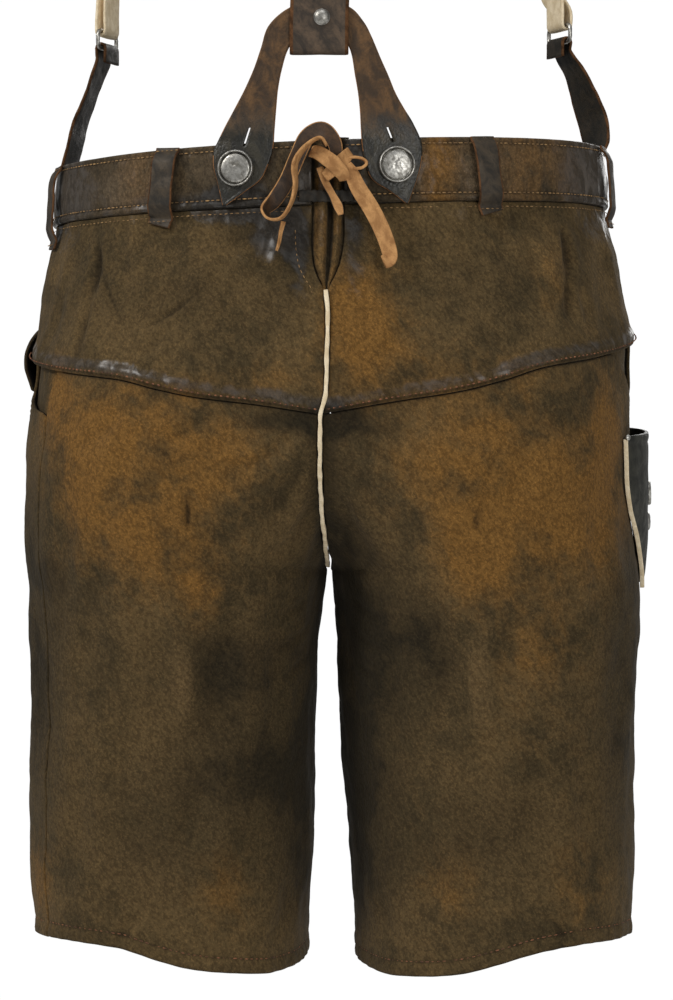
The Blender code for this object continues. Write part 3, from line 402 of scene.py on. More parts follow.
def smooth(rows, key, column=1):
    """Value of a column at each key, on a curve through the rows that never overshoots them."""
    rows = sorted(rows)
    keys = np.array([row[0] for row in rows], float)
    values = np.array([row[column] for row in rows], float)
    chord = np.diff(values) / np.diff(keys)
    slope = np.concatenate([chord[:1], np.zeros(len(keys) - 2), chord[-1:]])
    alike = chord[:-1] * chord[1:] > 0
    total = np.where(alike, chord[:-1] + chord[1:], 1.0)
    slope[1:-1] = np.where(alike, 2 * chord[:-1] * chord[1:] / total, 0.0)
    key = np.clip(key, keys[0], keys[-1])
    at = np.clip(np.searchsorted(keys, key, side="right") - 1, 0, len(keys) - 2)
    width = keys[at + 1] - keys[at]
    t = (key - keys[at]) / width
    return ((1 + 2 * t) * (1 - t) ** 2 * values[at] + t * (1 - t) ** 2 * width * slope[at]
            + t * t * (3 - 2 * t) * values[at + 1] + t * t * (t - 1) * width * slope[at + 1])


def hump(value, centre, width):
    """A soft bump of height 1: how near a value lies to a centre."""
    return np.exp(-((value - centre) / width) ** 2)


def half_section(z, depth_column, edges, break_height):
    """One half of the section at a height, from the side line to its centre edge."""
    side, depth, leg_mid, power = (float(smooth(BODY, z, k)) for k in (1, depth_column, 5, 6))
    edge = float(smooth(edges, z))
    if leg_mid < edge:
        angles = np.linspace(0, math.acos(((edge - leg_mid) / (side - leg_mid)) ** (power / 2)), 90)
        across = leg_mid + (side - leg_mid) * np.cos(angles) ** (2 / power)
        return across, depth * np.sin(angles) ** (2 / power)
    angles = np.linspace(0, math.pi / 2, 61)
    across = leg_mid + (side - leg_mid) * np.clip(np.cos(angles), 0, 1) ** (2 / power)
    deep = depth * np.sin(angles) ** (2 / power)
    way = min(max((break_height - z) / (break_height - CROTCH), 0.0), 1.0)
    share = (1 - way ** 2.2) ** (1 / 2.2)
    if share > 0.999:
        inner = np.linspace(0, 1, 30)[1:]
        return (np.concatenate([across, leg_mid + (edge - leg_mid) * inner]),
                np.concatenate([deep, depth + 0 * inner]))
    last = math.asin(share ** (power / 2))
    inner_radius = (leg_mid - edge) / math.cos(last) ** (2 / power)
    turn = np.linspace(math.pi / 2, last, 61)[1:]
    return (np.concatenate([across, leg_mid - inner_radius * np.clip(np.cos(turn), 0, 1) ** (2 / power)]),
            np.concatenate([deep, depth * np.sin(turn) ** (2 / power)]))


# The body form as a table: a row for each millimetre of height, columns by share of the way round.
TOP_ROW, LAST_ROW, SIDE_COLUMNS = 30, -490, 120
# Behind and in front: sign, depth column of BODY, edges and where the seam breaks.
HALVES = ((-1, 3, BACK_EDGE, SEAT_BREAK), (1, 4, FRONT_EDGE, FRONT_BREAK))
form_x, form_y, form_reach = [], [], []
for z in range(TOP_ROW, LAST_ROW, -1):
    row_x, row_y, round_lengths = [], [], []
    for sign, column, edges, break_height in HALVES:
        across, deep = half_section(float(z), column, edges, break_height)
        lengths = np.concatenate([[0], np.cumsum(np.hypot(np.diff(across), np.diff(deep)))])
        wanted = np.linspace(0, lengths[-1], SIDE_COLUMNS + 1)
        row_x.append(np.interp(wanted, lengths, across))
        row_y.append(sign * np.interp(wanted, lengths, deep))
        round_lengths.append(lengths[-1])
    form_x.append(np.concatenate([row_x[0][::-1], row_x[1][1:]]))
    form_y.append(np.concatenate([row_y[0][::-1], row_y[1][1:]]))
    form_reach.append(round_lengths)
form_x, form_y, form_reach = np.array(form_x), np.array(form_y), np.array(form_reach)
# The turn under the crotch is eased over a few millimetres of height.
for table in (form_x, form_y, form_reach):
    for _ in range(6):
        table[1:-1] = (table[:-2] + 2 * table[1:-1] + table[2:]) / 4
form_heights = np.arange(TOP_ROW, LAST_ROW, -1.0)


def reach(z, front=0):
    """Distance round from the side line to the centre edge, behind or in front."""
    return np.interp(-np.asarray(z, float), -form_heights, form_reach[:, front])


def bare(hand, z, along):
    """Points of the unfolded body: hand is 1 on the right, along is measured from the side line."""
    z, along = np.broadcast_arrays(np.asarray(z, float), np.asarray(along, float))
    level = np.clip(TOP_ROW - z, 0, len(form_heights) - 1.001)
    row = level.astype(int)
    part = level - row
    share = np.where(along < 0, along / reach(z), along / reach(z, 1))
    place = np.clip((np.clip(share, -1, 1) + 1) * SIDE_COLUMNS, 0, 2 * SIDE_COLUMNS - 0.001)
    column = place.astype(int)
    rest = place - column

    def pick(table):
        upper = table[row, column] * (1 - rest) + table[row, column + 1] * rest
        lower = table[row + 1, column] * (1 - rest) + table[row + 1, column + 1] * rest
        return upper * (1 - part) + lower * part

    x, y = pick(form_x), pick(form_y)
    share = np.maximum(np.clip(-y / 40, 0, 1), np.clip((CROTCH + 10 - z) / 40, 0, 1))
    drift = smooth(CENTRE_DRIFT, z) * hump(x, 0, 60) * share
    x = hand * x + drift + smooth(BODY, z, 2) * (x / 185) ** 2
    return np.stack([x, y, z + smooth(SIDE_LIFT, z) * x / 170.0], axis=-1)


def out_way(hand, z, along):
    """Outward normal of the unfolded body at each point."""
    round_way = bare(hand, z, along + 1.5) - bare(hand, z, along - 1.5)
    up_way = bare(hand, z + 1.5, along) - bare(hand, z - 1.5, along)
    return unit(np.cross(round_way, up_way)) * hand


def fold_height(hand, z, along):
    """How far the large soft folds lift each point."""
    total = np.zeros(np.broadcast(z, along).shape)
    for side, fold_z, fold_along, half_length, half_width, depth, degrees in FOLDS:
        if side == hand:
            turn = math.radians(degrees)
            down, out = fold_z - z, along - fold_along
            lengthwise = (down * math.cos(turn) + out * math.sin(turn)) / half_length
            across = (out * math.cos(turn) - down * math.sin(turn)) / half_width
            ridge = np.exp(-(across - 1) ** 2) - np.exp(-across ** 2)
            total = total + depth * ridge * np.exp(-lengthwise ** 2 * 1.5)
    return total


def skin(hand, z, along, out=0.0):
    """Points of the garment's surface, moved out along its normal."""
    lift = out + fold_height(hand, z, along)
    return bare(hand, z, along) + out_way(hand, z, along) * np.asarray(lift)[..., None]


# Creases seen from behind: from and to (across, height), bow to the side, half width and depth.
# A negative depth is a ridge.
BACK_CREASES = [
    # left yoke, from the belt loop down
    (-139, -36, -143, -72, 2, 2.4, 2.0), (-143, -70, -151, -113, 1, 2.4, 1.3),
    (-137, -51, -121, -89, -1, 1.6, 0.9), (-128, -40, -118, -74, 2, 4.5, 0.9),
    (-74, -68, -109, -91, 1, 1.6, 0.9), (-98, -95, -112, -106, 2, 4.0, 1.2),
    (-62, -63, -65, -96, 1, 1.6, 0.6), (-79, -47, -76, -72, 1, 1.6, 0.5),
    (-66, -50, -84, -86, -4, 4.4, -0.8), (-52, -32, -70, -58, 3, 3.6, 0.8),
    (-36, -30, -44, -62, 2, 3.2, 0.7), (-24, -48, -34, -86, -3, 3.0, 0.8),
    (-12, -72, -22, -104, 2, 3.2, 0.6), (-60, -88, -40, -112, 3, 5.0, 0.7),
    (-110, -24, -104, -60, -2, 3.6, 0.7), (-92, -26, -88, -48, 1, 3.0, 0.5),
    (-164, -46, -168, -92, 2, 4.0, 0.9),
    # right yoke
    (139, -27, 142, -60, 1, 2.4, 2.0), (142, -56, 142, -86, -1, 2.4, 1.6),
    (148, -66, 153, -94, 2, 3.0, 0.9), (131, -40, 126, -78, 2, 4.2, -0.9),
    (118, -30, 122, -66, -2, 3.6, 0.8), (70, -34, 88, -80, 5, 5.0, 1.1),
    (88, -80, 104, -104, -2, 4.4, 0.8), (56, -34, 66, -66, -3, 4.0, -0.7),
    (30, -40, 40, -82, -3, 3.6, 0.9), (14, -66, 24, -106, 3, 3.2, 0.7), (44, -92, 26, -120, -2, 4.6, 0.7),
    (98, -26, 104, -50, 2, 3.2, 0.5), (162, -40, 166, -96, -2, 4.4, 0.9),
    # short drag lines out of the waistband
    (-120, -22, -122, -36, 0, 2.2, 0.7), (-84, -22, -86, -38, 0, 2.2, 0.6),
    (-62, -20, -66, -36, 1, 2.0, 0.6), (-40, -20, -42, -34, 0, 2.0, 0.6), (26, -20, 28, -36, 0, 2.0, 0.6),
    (48, -18, 51, -34, 0, 2.0, 0.6), (82, -18, 85, -34, 0, 2.2, 0.6), (108, -18, 110, -32, 0, 2.2, 0.6),
    (-152, -24, -153, -38, 0, 2.2, 0.6), (156, -14, 158, -34, 0, 2.2, 0.6),
    # drag lines under the yoke seam, fanning from the fork
    (-20, -152, -58, -176, 3, 4.0, 1.0), (-14, -166, -46, -206, 4, 4.6, 1.1),
    (-10, -184, -30, -226, 4, 4.2, 1.1), (14, -152, 54, -178, -3, 4.0, 1.0),
    (12, -168, 44, -210, -4, 4.6, 1.1), (8, -188, 28, -228, -4, 4.2, 1.1),
    (-6, -206, -18, -244, 2, 3.4, 1.0), (8, -208, 18, -246, -2, 3.4, 1.0),
    (-70, -142, -104, -160, 3, 4.6, 0.8), (68, -142, 104, -158, -3, 4.6, 0.8),
    (-120, -136, -150, -160, 4, 4.4, 0.8), (118, -134, 152, -158, -3, 4.2, 0.8),
    # thin curved cracks at the backs of the thighs
    (-106, -159, -89, -179, 4, 1.5, 0.8), (-89, -179, -84, -212, 3, 1.5, 0.8),
    (-80, -189, -81, -210, -2, 1.3, 0.6), (-132, -150, -118, -166, 2, 1.5, 0.5),
    (105, -156, 93, -184, -4, 1.5, 0.8), (93, -184, 86, -212, -2, 1.5, 0.8),
    (81, -192, 84, -210, 2, 1.3, 0.6), (128, -150, 118, -168, 2, 1.5, 0.5),
    # long soft folds of the legs
    (-52, -240, -66, -330, -5, 8.0, 1.6), (-96, -250, -90, -340, 6, 9.0, -1.4),
    (-130, -214, -140, -300, -5, 9.0, 1.3), (-158, -190, -164, -280, 4, 7.0, 1.2),
    (-34, -270, -40, -350, 4, 6.0, 1.1), (-74, -350, -96, -410, 5, 8.0, 1.2),
    (-120, -330, -112, -400, -5, 9.0, 1.2), (-150, -340, -156, -420, 4, 7.0, 1.1),
    (-42, -380, -60, -440, -4, 7.0, 1.2), (56, -240, 68, -332, 5, 8.0, 1.6),
    (98, -250, 92, -338, -6, 9.0, -1.4), (132, -216, 140, -302, 5, 9.0, 1.3),
    (160, -190, 165, -284, -4, 7.0, 1.2), (38, -272, 42, -352, -4, 6.0, 1.1),
    (80, -350, 100, -412, -5, 8.0, 1.2), (122, -332, 116, -402, 5, 9.0, 1.2),
    (152, -342, 158, -420, -4, 7.0, 1.1), (48, -382, 64, -440, 4, 7.0, 1.2),
    (124, -437, 138, -462, 6, 3.0, 1.3), (132, -440, 146, -458, -3, 2.6, -0.8),
    (-110, -436, -126, -462, -4, 4.0, 1.1), (-26, -420, -34, -456, 3, 4.0, 0.9),
    (34, -424, 40, -458, -3, 4.0, 0.9),
    # fine wrinkles of the inner thighs
    (-14, -250, -34, -262, 2, 2.4, 0.7), (-12, -266, -34, -282, 2, 2.4, 0.7),
    (-14, -286, -30, -300, 1, 2.2, 0.6), (14, -250, 34, -264, -2, 2.4, 0.7),
    (14, -268, 36, -284, -2, 2.4, 0.7), (16, -288, 32, -302, -1, 2.2, 0.6),
]
# The same columns for the front.
FRONT_CREASES = [
    (-40, -140, -84, -176, 4, 5.0, 1.3), (-24, -160, -60, -206, 4, 5.0, 1.3),
    (-16, -186, -36, -236, 3, 4.4, 1.2), (42, -140, 82, -174, -4, 5.0, 1.3),
    (24, -162, 58, -208, -4, 5.0, 1.3), (16, -188, 38, -238, -3, 4.4, 1.2),
    (-110, -60, -130, -120, 4, 5.0, 1.1), (112, -64, 134, -126, -4, 5.0, 1.1),
    (-140, -150, -150, -230, 4, 7.0, 1.2), (138, -150, 150, -232, -4, 7.0, 1.2),
    (-70, -250, -80, -340, 5, 8.0, 1.4), (72, -254, 84, -336, -5, 8.0, 1.4),
    (-110, -330, -100, -420, -5, 9.0, 1.2), (112, -334, 104, -424, 5, 9.0, 1.2),
    (-40, -300, -52, -400, 4, 7.0, 1.1), (44, -306, 54, -404, -4, 7.0, 1.1),
    (-150, -380, -146, -440, 3, 7.0, 1.0), (150, -384, 148, -440, -3, 7.0, 1.0),
    (-92, -190, -112, -214, 3, 2.0, 0.7), (94, -192, 114, -216, -3, 2.0, 0.7),
    (-60, -214, -84, -228, 2, 2.0, 0.7), (60, -216, 86, -230, -2, 2.0, 0.7),
]


def creases(points):
    """Height of the creases at each point, and the painted shade in their troughs."""
    x, y, z = points[..., 0], points[..., 1], points[..., 2]
    height, painted_shade_and_dark_edge = np.zeros(x.shape), np.zeros(x.shape)
    for table, side in ((BACK_CREASES, np.clip(-y / 25 + 0.6, 0, 1)),
                        (FRONT_CREASES, np.clip(y / 25 + 0.4, 0, 1))):
        for x0, z0, x1, z1, bow, half_width, depth in table:
            length = math.hypot(x1 - x0, z1 - z0)
            way_x, way_z = (x1 - x0) / length, (z1 - z0) / length
            t = ((x - x0) * way_x + (z - z0) * way_z) / length
            off = (x - x0) * -way_z + (z - z0) * way_x - bow * 4 * t * (1 - t)
            taper = np.clip(1 - (2 * t - 1) ** 2 / 1.1, 0, 1) ** 0.8 * side
            ratio = off / (half_width * (0.7 + 0.6 * t))
            trough = np.exp(-ratio ** 2)
            shoulder = 0.45 * (np.exp(-(ratio - 1.9) ** 2) + 0.6 * np.exp(-(ratio + 1.9) ** 2))
            height += 1.7 * depth * taper * (shoulder - trough)
            # Painted shade: each crease's trough is darkened as it would be in shade.
            painted_shade_and_dark_edge += 1.5 * max(depth, 0) * taper * trough / half_width
    return height, painted_shade_and_dark_edge


def ripple(points, scale, seed):
    """Smooth random height between about -1 and 1, over patches of the given size."""
    flat = points.reshape(-1, 3) / scale + seed
    return np.array([noise.noise(Vector(p)) for p in flat]).reshape(points.shape[:-1])


# Patches seen from behind: kind, across, height, half width, half height and strength.
# The soot patches are grease and also painted shade: down the leg sides, just under the yoke seam and between
# the thighs.
PATCHES = [
    ("rust", -163, -134, 9, 26, 0.9), ("rust", -148, -192, 13, 26, 0.85),
    ("rust", -110, -205, 42, 40, 0.6), ("rust", -75, -241, 14, 22, 0.75), ("rust", 22, -98, 24, 42, 0.85),
    ("rust", 10, -70, 12, 24, 0.5), ("rust", 124, -198, 44, 34, 0.8), ("rust", 163, -165, 13, 52, 0.85),
    ("rust", 90, -226, 22, 30, 0.7), ("rust", 124, -278, 26, 22, 0.45), ("rust", -96, -152, 52, 18, 0.6),
    ("rust", -140, -150, 20, 26, 0.5), ("rust", 100, -150, 40, 18, 0.4),
    ("rust", -62, -421, 20, 24, 0.45), ("rust", 71, -421, 20, 24, 0.45), ("rust", -174, -417, 9, 30, 0.5),
    ("rust", 80, -120, 46, 16, 0.45), ("rust", -104, -128, 40, 10, 0.45),
    ("rust", -40, -120, 30, 12, 0.35), ("rust", 60, -176, 30, 20, 0.4), ("rust", -60, -176, 34, 18, 0.4),
    ("rust", 150, -420, 20, 30, 0.4), ("rust", 130, -60, 14, 26, 0.35), ("soot_and_shade", 6, -196, 20, 44, 0.5),
    ("soot_and_shade", 10, -250, 34, 34, 0.6), ("soot_and_shade", 2, -325, 38, 62, 1.1), ("soot_and_shade", 4, -415, 34, 50, 0.75),
    ("soot_and_shade", -182, -270, 20, 110, 0.75), ("soot_and_shade", 183, -290, 20, 110, 0.75),
    ("soot_and_shade", -64, -290, 26, 30, 0.55), ("soot_and_shade", 52, -285, 26, 34, 0.7), ("soot_and_shade", -60, -350, 34, 30, 0.4),
    ("soot_and_shade", -30, -146, 30, 7, 0.7), ("soot_and_shade", 20, -149, 26, 8, 0.6), ("soot_and_shade", 0, -140, 16, 9, 0.6),
    ("soot_and_shade", -120, -300, 50, 60, 0.25), ("soot_and_shade", 124, -310, 50, 60, 0.25), ("soot_and_shade", -20, -44, 8, 20, 0.4),
    ("soot_and_shade", -150, -40, 8, 22, 0.5), ("soot_and_shade", 150, -36, 8, 22, 0.5), ("soot_and_shade", -78, -62, 12, 18, 0.25),
    ("soot_and_shade", 60, -400, 50, 30, 0.25), ("soot_and_shade", -80, -400, 50, 30, 0.2), ("soot_and_shade", -150, -230, 20, 40, 0.3),
    ("wax", -38, -42, 9, 8, 1.0), ("wax", 14, -42, 7, 26, 1.0), ("wax", -20, -34, 7, 20, 0.9),
    ("wax", -60, -23, 30, 5, 0.9), ("soot_and_shade", -60, -23, 30, 6, 0.6), ("soot_and_shade", 12, -36, 9, 26, 0.9),
    ("wax", -100, -26, 60, 9, 0.3), ("soot_and_shade", -22, -40, 13, 24, 0.9), ("soot_and_shade", -46, -36, 22, 10, 0.6),
    ("soot_and_shade", -30, -84, 16, 16, 0.25), ("wax", -30, -36, 10, 12, 0.8), ("wax", -50, -52, 8, 5, 0.5),
    ("rust", 112, -196, 62, 52, 0.35), ("rust", -112, -196, 62, 44, 0.25),
    ("rust", 120, -330, 40, 40, 0.2), ("soot_and_shade", -110, -385, 62, 36, 0.3),
    ("soot_and_shade", 112, -385, 62, 36, 0.28), ("soot_and_shade", -110, -440, 60, 20, 0.15),
    ("soot_and_shade", -104, -76, 60, 20, 0.35), ("wax", 90, -22, 60, 9, 0.3), ("wax", -16, -60, 6, 20, 0.4),
    ("wax", -165, -30, 16, 14, 0.5), ("wax", 165, -24, 16, 14, 0.5),
]


def patches(points, kind):
    """Strength of the patches of one kind at each point; the front carries paler ones."""
    x, y, z = points[..., 0], points[..., 1], points[..., 2]
    total = np.zeros(x.shape)
    for name, across, height, half_width, half_height, strength in PATCHES:
        if name == kind:
            inside = ((x - across) / half_width) ** 2 + ((z - height) / half_height) ** 2
            total += strength * np.exp(-inside * 0.9) * (0.6 + 0.4 * np.clip((55 - y) / 55, 0, 1))
    return total


def paint_on(piece, **values):
    """Stores one number for each vertex under each name."""
    for name, numbers in values.items():
        layer = piece.data.attributes.new(name, "FLOAT", "POINT")
        layer.data.foreach_set("value", np.asarray(numbers, np.float32).ravel())


def ticks(length, step):
    """Places from 0 to length, closer together at both edges."""
    edge = [0.0, 0.35, 0.8, 1.5]
    middle = np.linspace(2.6, length - 2.6, max(3, round((length - 5.2) / step)))
    return np.concatenate([edge, middle, [length - e for e in edge[::-1]]]) / length


def shell(name, points, out, wall, materials, values, lift=0.0, holes=None):
    """A closed wall below a grid of points: out is each point's normal, lift its height along it.

    values are the numbers painted on the outer face; its back gets them too, and "inside" 1.
    holes marks the cells of the grid that are cut right through."""
    rows, columns = points.shape[:2]
    upper = points + out * np.asarray(lift)[..., None]
    lower = upper - out * wall
    count = rows * columns
    index = np.arange(count).reshape(rows, columns)
    quads = np.stack([index[:-1, :-1], index[1:, :-1], index[1:, 1:], index[:-1, 1:]], axis=-1)
    cut = np.zeros(quads.shape[:2], bool) if holes is None else holes
    sides = []
    for r, c in zip(*np.nonzero(cut)):
        corners = quads[r, c]
        for k, (down, right) in enumerate(((0, -1), (1, 0), (0, 1), (-1, 0))):
            if not cut[r + down, c + right]:
                a, b = corners[k], corners[(k + 1) % 4]
                sides.append((a, b, b + count, a + count))
    quads = quads[~cut]
    rim = np.concatenate([index[0], index[1:, -1], index[-1, -2::-1], index[-2:0:-1, 0]])
    after = np.roll(rim, -1)
    walls = np.stack([rim, after, after + count, rim + count], axis=-1)
    faces = np.concatenate([quads, quads[:, ::-1] + count, walls] + ([sides] if sides else []))
    both = np.concatenate([upper.reshape(-1, 3), lower.reshape(-1, 3)])
    piece = new_piece(name, both, faces.tolist(), materials)
    inside = np.concatenate([np.zeros(count), np.ones(count)])
    paint_on(piece, inside=inside, **{key: np.tile(np.broadcast_to(v, (rows, columns)).ravel(), 2)
                                      for key, v in values.items()})
    face_out(piece)
    return piece


def border(shares_across, width, shares_down, height):
    """Distance of each grid point from the nearest edge, in millimetres."""
    across = np.minimum(shares_across, 1 - shares_across) * width
    down = np.minimum(shares_down, 1 - shares_down) * height
    return np.minimum(across[None, :], down[:, None])


def rounded(distance, wall):
    """How far the face drops within a millimetre of a cut edge."""
    near = np.clip(1 - distance / 1.1, 0, 1)
    return -wall * 0.55 * (1 - np.sqrt(1 - near ** 2))


def suede_material(name, dark, light, lean=0.6):
    """Worn suede: olive nap, rust, grease and painted shade, ridges pale from wear and painted highlight,
    waxed gloss.
    """
    material, tree, shader, point = new_material(name)
    tones = grain(tree, point, 1.0, lean)

    def painted(attribute):
        return node(tree, "ShaderNodeAttribute", attribute_name=attribute).outputs["Fac"]

    def ragged(value, low, high, amount=0.9):
        cloudy = calc(tree, "MULTIPLY", value, ramp(tree, tones["Clouds"], 0.34, 0.62, 0.55, 1.35))
        noisy = calc(tree, "MULTIPLY", calc(tree, "SUBTRACT", tones["Mottle"], 0.5), amount)
        return ramp(tree, calc(tree, "ADD", cloudy, noisy), low, high)

    rust = ragged(painted("rust"), 0.1, 1.05, amount=0.8)
    # The soot mask is grease and painted shade alike.
    soot_and_shade = ragged(painted("soot_and_shade"), 0.16, 1.05, amount=0.75)
    wax = ragged(painted("wax"), 0.3, 0.9, amount=1.3)
    tone = mix(tree, ramp(tree, tones["Clouds"], 0.35, 0.65), dark, light)
    # Colours laid over it one by one: how much of each, and the colour.
    for share, over in ((ramp(tree, tones["Mottle"], 0.4, 0.75, 0.0, 0.3), colour(108, 86, 54)),
                        (calc(tree, "MULTIPLY", rust, 0.75), colour(122, 86, 38)),
                        (ramp(tree, tones["Mottle"], 0.55, 0.3, 0.0, 0.16), colour(48, 39, 25)),
                        # Near black: grease, and painted shade on the shaded patches.
                        (calc(tree, "MULTIPLY", soot_and_shade, 0.9), colour(32, 28, 18)),
                        (calc(tree, "MULTIPLY", wax, 0.6), colour(40, 37, 35)),
                        # Painted shade in creases and grooves, then ridges paled partly by wear and partly as
                        # painted highlight.
                        (ramp(tree, painted("painted_shade_and_dark_edge"), 0.1, 1.1, 0.0, 0.75), colour(34, 27, 17)),
                        (ramp(tree, painted("rubbed_and_highlight"), 0.2, 1.6, 0.0, 0.45), colour(124, 100, 66))):
        tone = mix(tree, share, tone, over)
    nap_dark, speck_light = (0.45, 0.43, 0.4, 1), (1.9, 1.85, 1.8, 1)
    tone = mix(tree, ramp(tree, tones["Nap"], 0.44, 0.6, 0.0, 0.6), tone, nap_dark, "MULTIPLY")
    tone = mix(tree, ramp(tree, tones["Speck"], 0.48, 0.66, 0.0, 0.5), tone, speck_light, "MULTIPLY")
    # The back faces are painted near black as shade inside the garment.
    tone = mix(tree, painted("inside"), tone, colour(26, 22, 16))
    tree.links.new(tone, shader.inputs["Base Color"])
    rough = calc(tree, "SUBTRACT", 0.92, calc(tree, "MULTIPLY", wax, 0.3))
    tree.links.new(rough, shader.inputs["Roughness"])
    glossy = calc(tree, "MULTIPLY", wax, ramp(tree, tones["Mottle"], 0.42, 0.6, 0.08, 0.95))
    tree.links.new(glossy, shader.inputs["Coat Weight"])
    shader.inputs["Coat Roughness"].default_value = 0.34
    shader.inputs["Specular IOR Level"].default_value = 0.15
    shader.inputs["Sheen Weight"].default_value = 0.05
    shader.inputs["Sheen Roughness"].default_value = 0.5
    shader.inputs["Sheen Tint"].default_value = (0.75, 0.68, 0.58, 1)
    height = calc(tree, "ADD", calc(tree, "MULTIPLY", tones["Nap"], 0.6),
                  calc(tree, "MULTIPLY", tones["Mottle"], 1.1))
    height = calc(tree, "ADD", height, calc(tree, "MULTIPLY", tones["Speck"], 0.35))
    bump(tree, shader, height, 0.7, 0.0012)
    return material


suede = suede_material("worn suede", colour(65, 54, 34), colour(90, 73, 46))


def seam_spot(side_limit, shares):
    """Height and distance of the yoke seam at shares of the way from the back to the side."""
    z = np.full(len(shares), -120.0)
    for _ in range(8):
        along = -reach(z) + (reach(z) + side_limit(z)) * shares
        z = smooth(YOKE_SEAM, along + reach(z))
    return z


def panel(name, hand, z, along, extra, materials, values=None, wall=WALL):
    """A body panel on a grid of heights and distances, with its folds, creases, stains and painted shade and
    highlight.
    """
    base = bare(hand, z, along)
    height, painted_shade_and_dark_edge = creases(base)
    soft = ripple(base, 34.0, 3.1) * 1.7 + ripple(base, 13.0, 7.7) * 0.7 + ripple(base, 5.5, 2.9) * 0.2
    lift = extra + fold_height(hand, z, along) + height + soft
    # Painted shade in the crease troughs; crease shoulders and raised ripples paled partly by wear, partly as
    # painted highlight.
    painted = {"rust": patches(base, "rust"), "soot_and_shade": patches(base, "soot_and_shade"), "wax": patches(base, "wax"),
               "painted_shade_and_dark_edge": painted_shade_and_dark_edge, "rubbed_and_highlight": np.clip(height * 0.35 + soft * 0.15 - painted_shade_and_dark_edge, 0, 1)}
    for key, numbers in (values or {}).items():
        painted[key] = painted[key] + numbers
    return shell(name, base, out_way(hand, z, along), wall, materials, painted, lift)


YOKE_SIDE = 2.0                   # how far past the side line the yokes reach
YOKE_SIZE = (205, 110)            # rough width and height, for spacing the grid
for hand, side in ((-1, "left"), (1, "right")):
    across = ticks(YOKE_SIZE[0], 2.0)
    down = ticks(YOKE_SIZE[1], 1.8)
    seam_z = seam_spot(lambda z: YOKE_SIDE + 0 * z, across)
    top = WAIST_BOTTOM - GAP
    z = top + (seam_z[None, :] + SET_BACK - top) * down[:, None]
    along = -reach(z) + (reach(z) + YOKE_SIDE - SET_BACK) * across[None, :]
    above_seam = z - seam_z[None, :]
    edge = border(across, YOKE_SIZE[0], down, YOKE_SIZE[1])
    # The seam's soft roll, with a groove above it, dies away at the side.
    roll = (0.75 * np.clip((1 - across) * 14, 0, 1) * hump(above_seam, 5.5, 2.8)
            - 0.35 * hump(above_seam, 11, 3.0))
    puckers = 0.3 * np.sin(along * 0.62 + 2.0 * np.sin(along * 0.09)) * hump(above_seam, 10, 6)
    fall = np.clip((WAIST_BOTTOM - z) / (WAIST_BOTTOM - seam_z[None, :]), 0, 1)
    extra = 0.2 + (YOKE_RAISE - 0.2) * fall ** 2 + roll + puckers + rounded(edge, WALL)
    glossy = 0.85 * hump(above_seam, 6.5, 4.4)
    # Painted shade along the seam's lower edge and in the groove above the roll.
    seam_shade = 0.9 * hump(above_seam, 1.6, 1.2) + 0.2 * hump(above_seam, 11, 2.0)
    yoke = panel("yoke_" + side, hand, z, along, extra, [suede], {"wax": glossy, "painted_shade_and_dark_edge": seam_shade})
    settle(yoke, "brown_suede", "seat_yoke_" + side)

# ==== Legs =======================================================================================
# Each back leg is one large piece of suede from the yoke seam to the raw turned hem.
# A dark stitch row runs along the hem; the inner thighs are black with grease and painted shade.

# Side seams by height, as distance from the side line: the back leg's edge, then the front's.
LEG_SIDE = {
    -1: [(-104, -95), (-122, -89), (-138, -85.5), (-152, -87), (-252, -84), (-372, -75), (-480, -68)],
    1: [(-98, -92), (-106, -87), (-128, -45), (-152, -4), (-480, -4)],
}
FRONT_SIDE = {
    -1: [(-98, 2), (-120, 2), (-128, -30), (-138, -84.5), (-152, -86.5), (-252, -83.5), (-372, -74.5),
         (-480, -67.5)],
    1: [(-94, 2), (-144, 2), (-154, -3.6), (-480, -3.6)],
}
# The hems: distance round the leg from the inseam, and height.
BACK_HEM = {
    -1: [(0, -466), (40, -472), (85, -475), (120, -473), (140, -470.3), (160, -465.3), (180, -459.5),
         (200, -457), (230, -455.8), (310, -456)],
    1: [(0, -466), (44, -472.5), (85, -475.5), (110, -474.5), (130, -472.3), (155, -466), (171, -461),
        (187, -457.5), (212, -454.5), (245, -454.3), (310, -456)],
}
FRONT_HEM = [(0, -466), (150, -463), (300, -457), (400, -456)]
HEM_LEVEL = -465.0                # where distances along the hems are measured
HEM_STITCH = 9                    # the hem's stitch row, above its edge
# Rough width and height of each panel, for spacing its grid.
BACK_LEG_SIZE, FRONT_LEG_SIZE = (200, 345), (260, 440)

